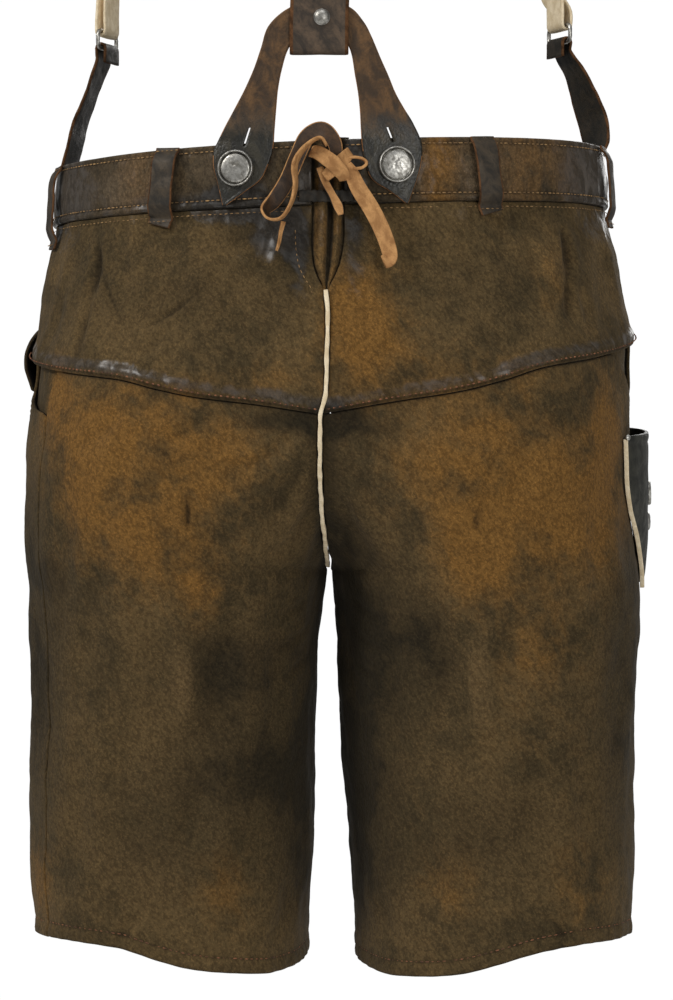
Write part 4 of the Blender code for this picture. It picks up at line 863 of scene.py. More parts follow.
for hand, side in ((-1, "left"), (1, "right")):
    limit = lambda z: smooth(LEG_SIDE[hand], z) - SET_BACK
    across = ticks(BACK_LEG_SIZE[0], 1.9)
    down = ticks(BACK_LEG_SIZE[1], 2.1)
    seam_z = seam_spot(limit, across)
    hem = smooth(BACK_HEM[hand], (reach(HEM_LEVEL) + limit(HEM_LEVEL)) * across)
    z = (seam_z - SET_BACK)[None, :] + (hem - seam_z + SET_BACK)[None, :] * down[:, None]
    start = -reach(z) + np.where(z <= CROTCH, INSEAM_BACK, 0.0)
    along = start + (limit(z) - start) * across[None, :]
    edge = border(across, BACK_LEG_SIZE[0], down, BACK_LEG_SIZE[1])
    above_hem = z - hem[None, :]
    below_seam = seam_z[None, :] - z
    inseam = across[None, :] * BACK_LEG_SIZE[0] + 0 * z
    puckers = 0.3 * np.sin(along * 0.5 + 2 * np.sin(along * 0.07)) * hump(above_hem, 0, 12)
    extra = (rounded(edge, WALL) + 0.5 * hump(above_hem, 4, 4) - 0.5 * hump(above_hem, HEM_STITCH, 1.8)
             + 0.5 * hump(below_seam, 0, 3) + puckers)
    # Painted shade under the lapped yoke seam and in the hem's stitch groove, and a dark line at the hem's
    # edge.
    painted_shade_and_dark_edge = (0.6 * hump(below_seam, 0, 2.0) + 0.7 * hump(above_hem, HEM_STITCH, 1.2)
              + 0.8 * hump(above_hem, 0, 1.2))
    # Painted shade under the yoke seam, grease and painted shade along the inseam, and darker towards the
    # hem.
    soot_and_shade = 0.25 * hump(below_seam, 0, 5) + 0.4 * hump(inseam, 0, 8) + 0.25 * hump(above_hem, 0, 9)
    leg = panel("back_leg_cloth_" + side, hand, z, along, extra, [suede], {"soot_and_shade": soot_and_shade, "painted_shade_and_dark_edge": painted_shade_and_dark_edge})
    settle(leg, "brown_suede", "back_leg_" + side)

    begin = lambda z: smooth(FRONT_SIDE[hand], z) + SET_BACK
    across = ticks(FRONT_LEG_SIZE[0], 2.6)
    down = ticks(FRONT_LEG_SIZE[1], 3.0)
    hem = smooth(FRONT_HEM, (reach(HEM_LEVEL, 1) - begin(HEM_LEVEL)) * (1 - across))
    top = WAIST_BOTTOM - GAP
    z = top + (hem - top)[None, :] * down[:, None]
    stop = reach(z, 1) - np.where(z <= CROTCH, INSEAM_BACK, 0.0)
    along = begin(z) + (stop - begin(z)) * across[None, :]
    edge = border(across, FRONT_LEG_SIZE[0], down, FRONT_LEG_SIZE[1])
    above_hem = z - hem[None, :]
    extra = rounded(edge, WALL) - 0.5 * hump(above_hem, HEM_STITCH, 1.8)
    # Grease and painted shade along the inseam below the fork.
    soot_and_shade = 0.5 * hump((1 - across[None, :]) * FRONT_LEG_SIZE[0], 0, 12) * (z < -150)
    front = panel("front_leg_cloth_" + side, hand, z, along, extra, [suede], {"soot_and_shade": soot_and_shade})
    settle(front, "brown_suede", "front_leg_" + side)

# Facings behind the corners of the side pockets: height, rear edge and front edge.
FACING = {
    -1: [(-97, -101, 7), (-108, -101, 7), (-118, -98, 4), (-127, -95, -12), (-136, -93, -56),
         (-146, -93, -74)],
    1: [(-92, -97, 8), (-106, -94, 8), (-122, -66, 8), (-136, -42, 7), (-148, -22, 6), (-156, -12, 4)],
}
FACING_DEPTH = 2.2                # how far a facing lies under the panels
for hand, side in ((-1, "left"), (1, "right")):
    heights = np.linspace(FACING[hand][0][0], FACING[hand][-1][0], 34)
    across = np.linspace(0, 1, 40)
    rear, ahead = (smooth(FACING[hand], heights, column)[:, None] for column in (1, 2))
    facing_cloth = panel("facing_" + side, hand, heights[:, None] + 0 * across[None, :],
                         rear + (ahead - rear) * across[None, :], -WALL - FACING_DEPTH, [suede])
    settle(facing_cloth, "brown_suede", "side_facing_" + side)

# ==== Waistband ==================================================================================
# Two layers of the same suede, waxed dark with wear, stitched tan near both edges.
# Its left and right halves meet in front and stop short of the laced opening behind.

BACK_RISE = 2.0                   # the top edge is cut this much higher behind
RISE_SPREAD = {-1: 140.0, 1: 220.0}
BAND_SIZE, BAND_WALL = (470, 36), 3.0
TOP_STITCH, LOW_STITCH = 3.6, 31.5            # the two stitch rows, below the top edge


def back_rise(hand, points):
    """How much higher the band's top edge stands at each point."""
    x, y = points[..., 0], points[..., 1]
    return BACK_RISE * np.clip(1 - (x / RISE_SPREAD[hand]) ** 2, 0, None) * (y < 0)


band_suede = suede_material("waxed band suede", colour(58, 50, 38), colour(86, 74, 58), lean=0.2)

for hand, side in ((-1, "left"), (1, "right")):
    across = ticks(BAND_SIZE[0], 1.9)
    down = ticks(BAND_SIZE[1], 1.1)
    z = (WAIST_TOP + (WAIST_BOTTOM - WAIST_TOP) * down)[:, None] + 0 * across[None, :]
    along = -reach(z) + (reach(z) + reach(z, 1)) * across[None, :]
    edge = border(across, BAND_SIZE[0], down, BAND_SIZE[1])
    fall = (WAIST_TOP - z)
    # The two layers puff out between the stitch rows and gather a little at the lower one.
    puff = (0.9 * hump(fall, 18, 11) - 0.55 * hump(fall, TOP_STITCH, 1.2)
            - 0.6 * hump(fall, LOW_STITCH, 1.3) + 0.4 * hump(fall, 34, 1.2))
    gathers = 0.35 * np.sin(along * 0.45 + 2.4 * np.sin(along * 0.06)) * hump(fall, 28, 9)
    base = bare(hand, z, along)
    base[..., 2] += back_rise(hand, base) * (1 - down)[:, None]
    soft = ripple(base, 26.0, 1.3) * 0.8 + ripple(base, 9.0, 5.1) * 0.35
    x = base[..., 0]
    behind = base[..., 1] < 0
    # Worn glossy and black beside the lacing and low on the left, rusty to the right of it.
    stains = {
        "wax": (0.3 + 1.1 * hump(fall, 33, 7) * hump(x, -66, 34)
                + 0.9 * np.clip((np.abs(x) - 128) / 40, 0, 1) + 0.5 * hump(np.abs(x), 12, 9)),
        "soot_and_shade": (0.9 * np.exp(-((x + 64) / 30) ** 2 - ((fall - 32) / 8) ** 2) + 0.5 * hump(x, -52, 22)
                 + 0.7 * hump(x, 16, 18) + 0.4 * hump(fall, 35, 3)),
        "rust": behind * (0.8 * hump(x, 64, 12) + 0.5 * hump(x, 120, 34) + 0.35 * hump(x, -110, 20)),
        # Painted shade in the two stitch grooves; the top edge is paler.
        "painted_shade_and_dark_edge": 0.9 * hump(fall, LOW_STITCH, 1.0) + 0.6 * hump(fall, TOP_STITCH, 0.9),
        "rubbed_and_highlight": 0.4 * hump(fall, 1, 1.4) + 0 * x,
    }
    lift = (BAND_RAISE + fold_height(hand, z, along) + puff + gathers + soft * 0.6
            + rounded(edge, BAND_WALL) - 0.3)
    band = shell("band_" + side, base, out_way(hand, z, along), BAND_WALL, [band_suede], stains, lift)
    settle(band, "waxed_suede", "waistband_" + side)

# ==== Front flap =================================================================================
# The drop flap covers the front opening and buttons at its two upper corners.

# Height, half width and how far it stands out.
FLAP = [
    (22, 96, 4.4), (10, 97, 4.4), (-18, 98, 4.4), (-50, 98, 3.6), (-90, 96, 3.2), (-118, 86, 3.2),
    (-132, 60, 3.0),
]
FLAP_SIZE = (196, 154)
down = ticks(FLAP_SIZE[1], 2.0)
z = (FLAP[0][0] + (FLAP[-1][0] - FLAP[0][0]) * down)[:, None]
half_width = smooth(FLAP, z)
across = ticks(FLAP_SIZE[0], 2.0)[None, :] * 2 - 1
place = half_width * across
from_side = reach(z, 1) - np.abs(place)
on_right = (place >= 0)[..., None]
flap_base = np.where(on_right, bare(1, z, from_side), bare(-1, z, from_side))[:, ::-1]
flap_out = np.where(on_right, out_way(1, z + 0 * place, from_side),
                    out_way(-1, z + 0 * place, from_side))[:, ::-1]
edge = border((across[0] + 1) / 2, FLAP_SIZE[0], down, FLAP_SIZE[1])
rim = hump(edge, 4.0, 1.2)
height, painted_shade_and_dark_edge = creases(flap_base)
soft = ripple(flap_base, 30.0, 2.2) * 1.0 + ripple(flap_base, 11.0, 4.4) * 0.35
# Painted shade in the creases and in the groove inside the rim; raised ripples paled as wear and painted
# highlight; darker at the edges.
stains = {"rust": patches(flap_base, "rust"), "soot_and_shade": 0.7 * hump(edge, 0, 3), "wax": 0 * edge,
          "painted_shade_and_dark_edge": painted_shade_and_dark_edge + 0.8 * rim, "rubbed_and_highlight": np.clip(soft * 0.3, 0, 1)}
lift = (smooth(FLAP, z, 2) + 0 * edge + np.clip(height + soft, -0.4, 3) + rounded(edge, WALL)
        - 0.3 * rim + 0.3)
flap = shell("flap_cloth", flap_base, flap_out, WALL, [suede], stains, lift)
settle(flap, "brown_suede", "front_flap")

# ==== Back gusset and seat piping ================================================================
# A soft suede gusset folds up inside the laced opening; below it the centre seam is piped in cream.

# How far the folds stand back, by height, and each fold's share of that across the opening.
GUSSET = [
    (15, 2.0), (0, 3.2), (-18, 5.0), (-34, 5.8), (-48, 5.0), (-58, 3.2), (-66, 1.2), (-73, 0.0),
]
GUSSET_FOLDS = [
    (-1.3, 0.0), (-0.97, 0.1), (-0.8, 0.52), (-0.42, 1.0), (-0.1, 0.68), (0.04, 0.06), (0.2, 0.0),
    (0.36, 0.5), (0.6, 0.9), (0.8, 0.52), (0.97, 0.1), (1.3, 0.0),
]
GUSSET_TOP, GUSSET_FOOT, GUSSET_WALL = 21.5, -73, 1.2
z = np.linspace(GUSSET_TOP, GUSSET_FOOT, 116)[:, None]
place = np.linspace(-1.3, 1.3, 84)[None, :]
opening = np.maximum(smooth(BACK_EDGE, z), 3.0)
behind = -(smooth(BODY, z, 3) - 3.3) + np.clip((-z - 10) / 4, 0, 1) * -1.0
stand = smooth(GUSSET_FOLDS, place + 0.05 * np.sin(z * 0.11)) * smooth(GUSSET, z)
base = np.stack([smooth(CENTRE_DRIFT, z) + opening * place, behind - stand, z + 0 * place], axis=-1)
base[..., 1] += ripple(base, 6.0, 9.1) * 0.35 + 0.3 * np.sin(z * 0.9 + place * 3)
gusset_out = unit(np.cross(np.gradient(base, axis=1), np.gradient(base, axis=0)))
gusset_out *= np.where(gusset_out[..., 1:2] > 0, -1, 1)
share = smooth(GUSSET_FOLDS, place + 0 * z)
# Painted shade darkens the valleys between the folds and painted highlight pales their ridges; it is also
# darker towards the top.
stains = {"rust": 0.2 + 0.5 * share,
          "soot_and_shade": 1.3 * np.clip(0.75 - share, 0, 1) + 0.9 * np.clip((z + 8) / 20, 0, 1),
          "wax": 0.7 * share ** 2 * (z > -44), "painted_shade_and_dark_edge": np.clip(1.15 - 1.5 * share, 0, 1),
          "rubbed_and_highlight": 3.0 * np.clip(share - 0.62, 0, 1)}
gusset = shell("gusset_cloth", base, gusset_out, GUSSET_WALL, [suede], stains)
settle(gusset, "brown_suede", "back_gusset")

cream = plain_leather("cream piping leather", colour(216, 196, 160), colour(242, 226, 196), 0.75, 0.2,
                      0.0003, 2.0)
PIPING_TOP, PIPING_FOOT = -69.0, CROTCH + 4.5
levels = np.linspace(0, 1, 150)
z = PIPING_TOP + (PIPING_FOOT - PIPING_TOP) * np.sin(math.pi / 2 * levels ** 0.9)
path = (bare(-1, z, -1000.0) + bare(1, z, -1000.0)) / 2
way = unit(np.gradient(path, axis=0))
out = np.cross([1.0, 0, 0], way)
out *= np.where(out[:, 1:2] > 0, -1, 1)
path = path + out * 0.35
path[:, 0] += 0.15 * np.sin(levels * 40) + 0.1 * np.sin(levels * 90)
width = 2.5 + 0.2 * np.sin(levels * 63) + 0.2 * np.sin(levels * 151)
piping = strip("piping_seat", path, np.tile([1.0, 0, 0], (150, 1)), width, 3.0, [cream], (0, 0, 0), dome=0.25)
settle(piping, "cream_leather", "seat_piping")

# ==== Belt loops =================================================================================
# Folded strips of waxed suede, stitched down across both ends, standing clear for a belt.

# Name, half, distance of top and foot from the side line, height of top and foot, and belt gap.
LOOPS = [
    ("belt_loop_left", -1, -138, -138, 19.5, -27.0, 5.6),
    ("belt_loop_right", 1, -144, -143, 19.5, -26.0, 5.6),
    ("belt_loop_left_side", -1, -37, -40, 17.0, -34.0, 4.2),
    ("belt_loop_right_side", 1, -34, -36, 18.0, -32.0, 4.2),
]
# Share of the way up, and share of the belt gap.
LOOP_SIDE = [
    (0, 0), (0.1, 0), (0.17, 0.5), (0.26, 0.92), (0.45, 1), (0.65, 1), (0.8, 0.95), (0.9, 0.6),
    (0.96, 0.1), (1, 0),
]
loop_leather = plain_leather("waxed loop leather", colour(34, 30, 24), colour(70, 58, 42), 0.6, 0.35)
raw_edge = plain_leather("raw leather edge", colour(58, 40, 26), colour(104, 72, 46), 0.9, 0.1, 0.0003, 1.6)
for name, hand, top_along, foot_along, top, foot, belt_gap in LOOPS:
    share = np.linspace(1, 0, 60)
    gap_share = smooth(LOOP_SIDE, share)
    z = foot + (top - foot) * share
    along = foot_along + (top_along - foot_along) * share
    low_end = (z < WAIST_BOTTOM - 4) & (gap_share < 0.02)
    out = BAND_RAISE + GAP + 0.7 + belt_gap * gap_share - 0.4 * low_end
    path = skin(hand, z, along, out)
    width_way = skin(hand, z, along + 6, out) - skin(hand, z, along - 6, out)
    loop = strip("cloth_" + name, path, width_way, 15 + 0.5 * np.sin(share * 9), 1.4,
                 [loop_leather, raw_edge], dome=0.3, lift=lambda p: ripple(p, 7.0, 2.5) * 0.35)
    settle(loop, "waxed_suede", name)

# ==== Wishbone ===================================================================================
# One thick piece of leather, brown suede above and waxed black-green round the buttons.
# Its edge is cut raw and shows tan; each button passes through a long slit.

LEAN = 0.025                      # how far it leans back for each millimetre above the band
WISHBONE_WALL = 2.4
# From the left point, over the arch, to the right point: outer edge, then inner edge.
WISHBONE = [
    (-63.0, -18.4, -60.6, -18.6), (-66.2, -4.4, -49.5, -10.6), (-68.4, 4.4, -40.6, -3.8),
    (-68.4, 13.2, -36.3, 4.4), (-66.1, 18.6, -33.3, 13.2), (-61.4, 27.8, -32.2, 27.0),
    (-55.6, 38.3, -31.2, 39.0), (-49.7, 49.4, -30.2, 49.4), (-44.5, 61.1, -28.2, 60.0),
    (-40.4, 72.8, -24.8, 71.5), (-35.7, 86.3, -19.5, 79.5), (-23.4, 96.8, -13.5, 83.5),
    (-6.0, 101.5, -6.0, 84.5), (11.1, 97.4, 1.6, 83.5), (19.9, 88.6, 7.8, 79.5),
    (24.6, 79.8, 12.4, 71.0), (29.8, 67.5, 14.8, 57.5), (34.5, 57.0, 16.6, 47.0),
    (38.6, 47.1, 17.7, 36.5), (43.9, 37.7, 18.2, 26.5), (49.0, 29.5, 18.8, 17.2),
    (54.0, 18.0, 20.2, 9.1), (53.8, 6.5, 24.4, -3.2), (50.9, -4.4, 35.2, -10.6), (46.4, -17.4, 44.4, -17.6),
]


def rear_face(x, z):
    """Mid face of the wishbone: bent round the waistband, flatter and leaning back above it."""
    x, z = np.asarray(x, float), np.asarray(z, float)
    side, depth, power = (smooth(BODY, z, column) for column in (1, 3, 6))
    flat = np.clip((z - 20) / 70, 0, 1)
    bent = np.abs(x) * (1 - 0.75 * flat)
    bow = depth * (1 - (bent / side) ** power) ** (1 / power)
    slope = (depth / side) * (bent / side) ** (power - 1)
    out = (BAND_RAISE + GAP + 0.2 + WISHBONE_WALL / 2) * np.sqrt(1 + slope * slope)
    return np.stack([x, -bow - out - LEAN * np.maximum(z - WAIST_TOP, 0), z], axis=-1)


def two_tone_leather(name, upper, lower, height, spread):
    """Leather that is brown suede above a height and glossy, wrinkled and waxed below it."""
    material, tree, shader, point = new_material(name)
    tones = grain(tree, point, 1.0, 0.2)
    split = node(tree, "ShaderNodeSeparateXYZ", [(0, point)])
    noisy = calc(tree, "ADD", split.outputs["Z"], calc(tree, "MULTIPLY", tones["Mottle"], spread * 1.6))
    black = ramp(tree, noisy, height + spread * 1.6, height - spread * 0.4)
    cells = node(tree, "ShaderNodeTexVoronoi", [("Vector", point), ("Scale", 420.0)],
                 feature="DISTANCE_TO_EDGE")
    tone = mix(tree, ramp(tree, tones["Mottle"], 0.34, 0.66), upper[0], upper[1])
    waxed = mix(tree, ramp(tree, tones["Mottle"], 0.34, 0.7), lower[0], lower[1])
    tone = mix(tree, black, tone, waxed)
    tone = mix(tree, ramp(tree, tones["Speck"], 0.45, 0.75, 0.0, 0.4), tone, colour(40, 33, 24))
    tree.links.new(tone, shader.inputs["Base Color"])
    tree.links.new(ramp(tree, black, 0.0, 1.0, 0.85, 0.42), shader.inputs["Roughness"])
    height_out = calc(tree, "ADD", calc(tree, "MULTIPLY", cells.outputs["Distance"], 0.9),
                      calc(tree, "MULTIPLY", tones["Mottle"], 1.2))
    bump(tree, shader, height_out, 0.6, 0.0006)
    return material


tan_edge = plain_leather("tan cut edge", colour(110, 76, 48), colour(176, 126, 84), 0.9, 0.1, 0.0003, 2.0)
wishbone_leather = two_tone_leather("wishbone leather", (colour(60, 44, 28), colour(100, 72, 42)),
                                    (colour(24, 24, 19), colour(54, 50, 38)), 0.034, 0.014)
rows = curve_through([(a, 0.0, b, c, d) for a, b, c, d in WISHBONE], 1.0)
outer, inner = rows[:, [0, 2]], rows[:, [3, 4]]
width = np.hypot(*(inner - outer).T)[:, None]
share = np.concatenate([[0, 0.015, 0.04], np.linspace(0.075, 0.925, 19), [0.96, 0.985, 1]])
share = share[None, :] + 0 * width
holes = np.zeros((share.shape[0] - 1, share.shape[1] - 1), bool)
# The slits: top and foot, across and height. Each opens one cell wide between two columns.
SLIT_WIDTH = 1.0
for slit_x, slit_z, foot_x, foot_z in ((-46.6, 27.5, -50.8, 14.6), (33.6, 27.5, 37.4, 17.8)):
    top, line = np.array([slit_x, slit_z]), np.array([foot_x - slit_x, foot_z - slit_z])
    across = inner - outer
    turn = across[:, 0] * line[1] - across[:, 1] * line[0]
    meet = ((top - outer)[:, 0] * line[1] - (top - outer)[:, 1] * line[0]) / turn
    along = ((outer + across * meet[:, None] - top) @ line) / (line @ line)
    near = ((np.sign(outer[:, 0]) == np.sign(slit_x)) & (meet > 0.1) & (meet < 0.9)
            & (np.abs(along - 0.5) < 1.4))
    inside = np.nonzero(near & (along > 0) & (along < 1))[0]
    column = int(np.argmin(np.abs(share[0] - np.mean(meet[inside])))) - 1
    fade = np.clip(1.4 - np.maximum(0, np.abs(along - 0.5) - 0.5) * 2, 0, 1) * near
    for i in np.nonzero(near)[0]:
        natural = share[0, column], share[0, column + 1]
        half = SLIT_WIDTH / 2 / width[i, 0]
        wanted = [n + (w - n) * fade[i] for n, w in zip(natural, (meet[i] - half, meet[i] + half))]
        share[i] = np.interp(share[i], [0, *natural, 1], [0, *wanted, 1])
    holes[inside[0]:inside[-1], column] = True
x = outer[:, :1] + (inner - outer)[:, :1] * share
z = outer[:, 1:] + (inner - outer)[:, 1:] * share
base = rear_face(x, z)
edge = np.minimum(share, 1 - share) * width
soft = ripple(base, 12.0, 6.3) * 0.35 + ripple(base, 4.0, 3.3) * 0.12
back_way = unit(np.array([0.0, -1.0, 0.0]) + 0 * base)
lift = (WISHBONE_WALL / 2 + rounded(edge, WISHBONE_WALL) * 0.8 - 0.25 * hump(edge, 2.6, 0.8)
        + soft)
wishbone = shell("wishbone_leather", base, back_way, WISHBONE_WALL, [wishbone_leather, tan_edge], {}, lift,
                 holes)
edge_of = np.tile((edge < 0.5).ravel(), 2)
for face in wishbone.data.polygons:
    if all(edge_of[v] for v in face.vertices):
        face.material_index = 1
settle(wishbone, "dark_leather", "wishbone")

# ==== Back strap, rivet and Y piece ==============================================================
# The strap is folded round the wishbone's arch and riveted; above, it meets the shoulder straps.

STRAP_WALL, STRAP_WIDTH = 1.8, 34.5
STRAP_MID, FOLD_RADIUS, FOLD_FOOT = -6.2, 2.6, 72.4   # middle across, fold's radius and its height


def strap_point(height, offset):
    """Point of the back strap: offset is towards the seat side from the wishbone's mid face."""
    face = rear_face(STRAP_MID, 85.0)
    lean_y = face[1] - LEAN * (height - 85.0)
    return np.array([STRAP_MID * min(1.0, max(0.0, (250 - height) / 160)), lean_y - offset, height])


strap_leather = plain_leather("strap leather", colour(46, 38, 30), colour(92, 74, 56), 0.6, 0.4, 0.0005)
path = [strap_point(height, FOLD_RADIUS) for height in (246, 215, 180, 145, 115, 100, 88, 80)]
for i in range(9):
    angle = math.pi * i / 8
    path.append(strap_point(FOLD_FOOT, 0.0) + np.array([0, -math.cos(angle), -math.sin(angle)]) * FOLD_RADIUS)
path += [strap_point(height, -FOLD_RADIUS) for height in (82, 94, 108, 122)]
path = curve_through(path, 1.6)
strap = strip("strap_back", path, np.tile([1.0, 0, 0], (len(path), 1)), [STRAP_WIDTH] * len(path),
              STRAP_WALL, [strap_leather, raw_edge], dome=0.0, lift=lambda p: ripple(p, 10.0, 4.2) * 0.25)
settle(strap, "dark_leather", "back_strap")

silver, tree, shader, point = new_material("old silver")
tones = grain(tree, point, 2.4)
tone = mix(tree, ramp(tree, tones["Mottle"], 0.3, 0.66), colour(120, 117, 110), colour(196, 194, 188))
tree.links.new(tone, shader.inputs["Base Color"])
tree.links.new(ramp(tree, tones["Mottle"], 0.3, 0.7, 0.5, 0.34), shader.inputs["Roughness"])
shader.inputs["Metallic"].default_value = 1.0
bump(tree, shader, tones["Mottle"], 0.5, 0.0004)


def turned(name, profile, place, axis, dents=0.0):
    """A turned metal piece: profile rows are radius and height; axis is its outward way."""
    profile = np.array(profile, float)
    fine = curve_through([(r, 0.0, h) for r, h in profile], 0.22)
    steps = 72
    angles = np.linspace(0, 2 * math.pi, steps, endpoint=False)
    radius, height = fine[:, 0][:, None], fine[:, 2][:, None]
    points = np.stack([radius * np.cos(angles), radius * np.sin(angles), height + 0 * angles], axis=-1)
    if dents:
        inside = np.clip(1 - radius / (profile[:, 0].max() * 0.74), 0, 1) ** 0.4
        points[..., 2] += ripple(points, 1.7, place[0]) * dents * inside * (height > 0.5)
    count = len(fine)
    faces = []
    for i in range(count - 1):
        for j in range(steps):
            a, b = i * steps + j, i * steps + (j + 1) % steps
            faces.append((a, b, b + steps, a + steps))
    turn = np.array(Vector(axis).to_track_quat("Z", "Y").to_matrix())
    points = points.reshape(-1, 3) @ turn.T + np.asarray(place)
    piece = new_piece(name, points, faces, [silver])
    form = bmesh.new()
    form.from_mesh(piece.data)
    bmesh.ops.remove_doubles(form, verts=form.verts, dist=1e-6)
    bmesh.ops.recalc_face_normals(form, faces=form.faces)
    form.to_mesh(piece.data)
    form.free()
    piece.data.shade_smooth()
    return piece


rivet = turned("rivet_strap", [(0, 2.2), (2.2, 1.9), (3.8, 1.1), (4.5, 0.3), (4.5, 0.0), (0, 0)],
               strap_point(90.8, FOLD_RADIUS + STRAP_WALL / 2 + GAP) + np.array([1.6, 0, 0]), (0, -1, 0))
settle(rivet, "old_silver", "strap_rivet")
y_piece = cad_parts["y_piece"]
y_piece.data.materials.clear()
y_piece.data.materials.append(strap_leather)

# ==== Rings, shoulder straps and front tabs ======================================================
# Rectangular steel rings join the cream shoulder straps to the dark front tabs.
# Strap and tab are each folded round the ring's wire.

# The right shoulder strap from its ring to the Y piece: place, then which way its width lies.
SHOULDER = [
    (141, 50, 128, -0.45, 0.89, 0.0), (138, 60, 150, -0.55, 0.83, 0.0), (127, 86, 195, -0.85, 0.50, 0.0),
    (115, 100, 250, -0.97, 0.22, 0.0), (104, 98, 320, -1.0, 0.05, 0.0), (97, 78, 380, -1.0, 0.0, 0.0),
    (92, 40, 422, -1.0, 0.0, -0.05), (88, -5, 436, -1.0, 0.0, -0.08), (82, -55, 424, -1.0, 0.0, 0.0),
    (72, -98, 385, -1.0, 0.0, 0.1), (56, -124, 338, -1.0, 0.0, 0.3), (37, -131, 296, -0.9, 0.0, 0.45),
    (17, -131, 261, -0.86, 0.0, 0.5),
]
RING_WIRE, RING_HALF, RING_CORNER = 1.3, (14.5, 5.5), 4.0
# Each ring: across, forward, height, and how far its face turns forward.
RINGS = {-1: (-141, 46, 98.5, 20), 1: (145, 46, 102.5, 24)}
# Each tab between its ring and the band: across, forward, height, turn and width.
TAB_ROUTE = {
    -1: [(-147, 45, 76, 15, 23), (-152, 43, 61, 14, 24), (-157, 40, 47, 15, 25), (-160.5, 36, 32, 18, 25)],
    1: [(155, 45, 77, 30, 23), (161, 43, 61, 38, 25), (166, 40, 46, 40, 26), (168, 37, 32, 32, 26)],
}
# The tab on the band: height and width down to its point.
TAB_END = [(15, 25), (0, 25), (-13, 16), (-22, 4)]
TAB_ALONG, TAB_WIDTH, TAB_CLEAR, FOLD_ON_RING = 33.0, 22.0, 0.7, 2.9
FOLD_WIDTH, SHOULDER_WIDTH = 22.0, 25.0
tab_leather = plain_leather("green-black tab leather", colour(22, 20, 15), colour(50, 42, 31), 0.55, 0.3,
                            0.0006, 1.3)


def facing_way(hand, degrees):
    """Outward direction of a strap's face at the side, and the direction of its width."""
    turn = math.radians(degrees)
    return (np.array([hand * math.cos(turn), math.sin(turn), 0]),
            np.array([-hand * math.sin(turn), math.cos(turn), 0]))


def upright(height):
    return np.array([0, 0, height])


def round_wire(wire, face, rise):
    """Half a turn round the ring's wire; rise is 1 over the lower wire and -1 under the upper."""
    return [wire + (-face * math.cos(angle) + upright(rise * math.sin(angle))) * FOLD_ON_RING
            for angle in (math.pi * i / 6 for i in range(7))]


for hand, side in ((-1, "left"), (1, "right")):
    ring_place = np.array(RINGS[hand][:3])
    face, width_way = facing_way(hand, RINGS[hand][3])
    points = []
    for turn_x, turn_z in ((1, 1), (-1, 1), (-1, -1), (1, -1)):
        for i in range(7):
            angle = math.atan2(turn_z, turn_x) + math.radians(-45 + 15 * i)
            across = turn_x * (RING_HALF[0] - RING_CORNER) + RING_CORNER * math.cos(angle)
            height = turn_z * (RING_HALF[1] - RING_CORNER) + RING_CORNER * math.sin(angle)
            points.append(ring_place + width_way * across + upright(height))
    line = bpy.data.curves.new("ring_" + side, "CURVE")
    line.dimensions = "3D"
    line.bevel_depth = RING_WIRE * MM
    line.bevel_resolution = 6
    spline = line.splines.new("POLY")
    spline.points.add(len(points) - 1)
    spline.points.foreach_set("co", np.c_[np.array(points) * MM, np.ones(len(points))].ravel())
    spline.use_cyclic_u = True
    spline.use_smooth = True
    line.materials.append(silver)
    ring = bpy.data.objects.new("ring_" + side, line)
    bpy.context.scene.collection.objects.link(ring)
    settle(ring, "old_silver", "brace_ring_" + side)

    # The strap is folded round the upper wire and its end lies inside it.
    upper = ring_place + upright(RING_HALF[1])
    fold = [upper - face * FOLD_ON_RING + upright(height) for height in (26, 8)]
    fold += round_wire(upper, face, -1) + [upper + face * FOLD_ON_RING + upright(8)]
    rows = [(*p, *width_way, FOLD_WIDTH) for p in fold]
    rows += [(hand * x, y, z, hand * a, b, c, SHOULDER_WIDTH) for x, y, z, a, b, c in SHOULDER]
    rows = curve_through(rows, 2.0)
    strap = strip("strap_shoulder_" + side, rows[:, :3], rows[:, 3:6], rows[:, 6], STRAP_WALL, [cream, cream],
                  lift=lambda p: ripple(p, 12.0, 5.2) * 0.3)
    settle(strap, "cream_leather", "shoulder_strap_" + side)

    # The tab is folded round the lower wire and runs down over the band.
    lower = ring_place - upright(RING_HALF[1])
    fold = [lower - face * FOLD_ON_RING - upright(down) for down in (9, 5)]
    fold += round_wire(lower, face, 1) + [lower + face * FOLD_ON_RING - upright(7)]
    rows = [(*p, *width_way, TAB_WIDTH) for p in fold]
    for x, y, z, turn, width in TAB_ROUTE[hand]:
        rows.append((x, y, z, *facing_way(hand, turn)[1], width))
    for z, width in TAB_END:
        spot = skin(hand, z, TAB_ALONG, BAND_RAISE + TAB_CLEAR + STRAP_WALL / 2)
        rows.append((*spot, *unit(bare(hand, z, TAB_ALONG + 3) - bare(hand, z, TAB_ALONG - 3)), width))
    rows = curve_through(rows, 1.5)
    tab = strip("tab_" + side, rows[:, :3], rows[:, 3:6], rows[:, 6], STRAP_WALL, [tab_leather, raw_edge],
                lift=lambda p: ripple(p, 9.0, 8.2) * 0.35 + ripple(p, 3.5, 4.2) * 0.12)
    settle(tab, "dark_leather", "front_tab_" + side)

# ==== Buttons ====================================================================================
# Hammered silver buttons with a raised bright rim, sewn on by a shank.

BACK_BUTTON, SMALL_BUTTON, POCKET_BUTTON = 10.8, 9.0, 7.5     # radii
FLAP_BUTTON_ACROSS, FLAP_BUTTON_HEIGHT = 82, 4.0              # from the flap's middle, and height


def button_profile(radius, height):
    """Radius and height from the middle of the face, over the rim, to the back."""
    return [(0, height * 0.9), (radius * 0.45, height * 0.84), (radius * 0.76, height * 0.66),
            (radius * 0.81, height * 0.2), (radius * 0.85, height * 0.5), (radius * 0.92, height),
            (radius * 0.98, height * 0.86), (radius, height * 0.55), (radius * 0.93, height * 0.2),
            (radius * 0.4, 0.0), (0, 0)]


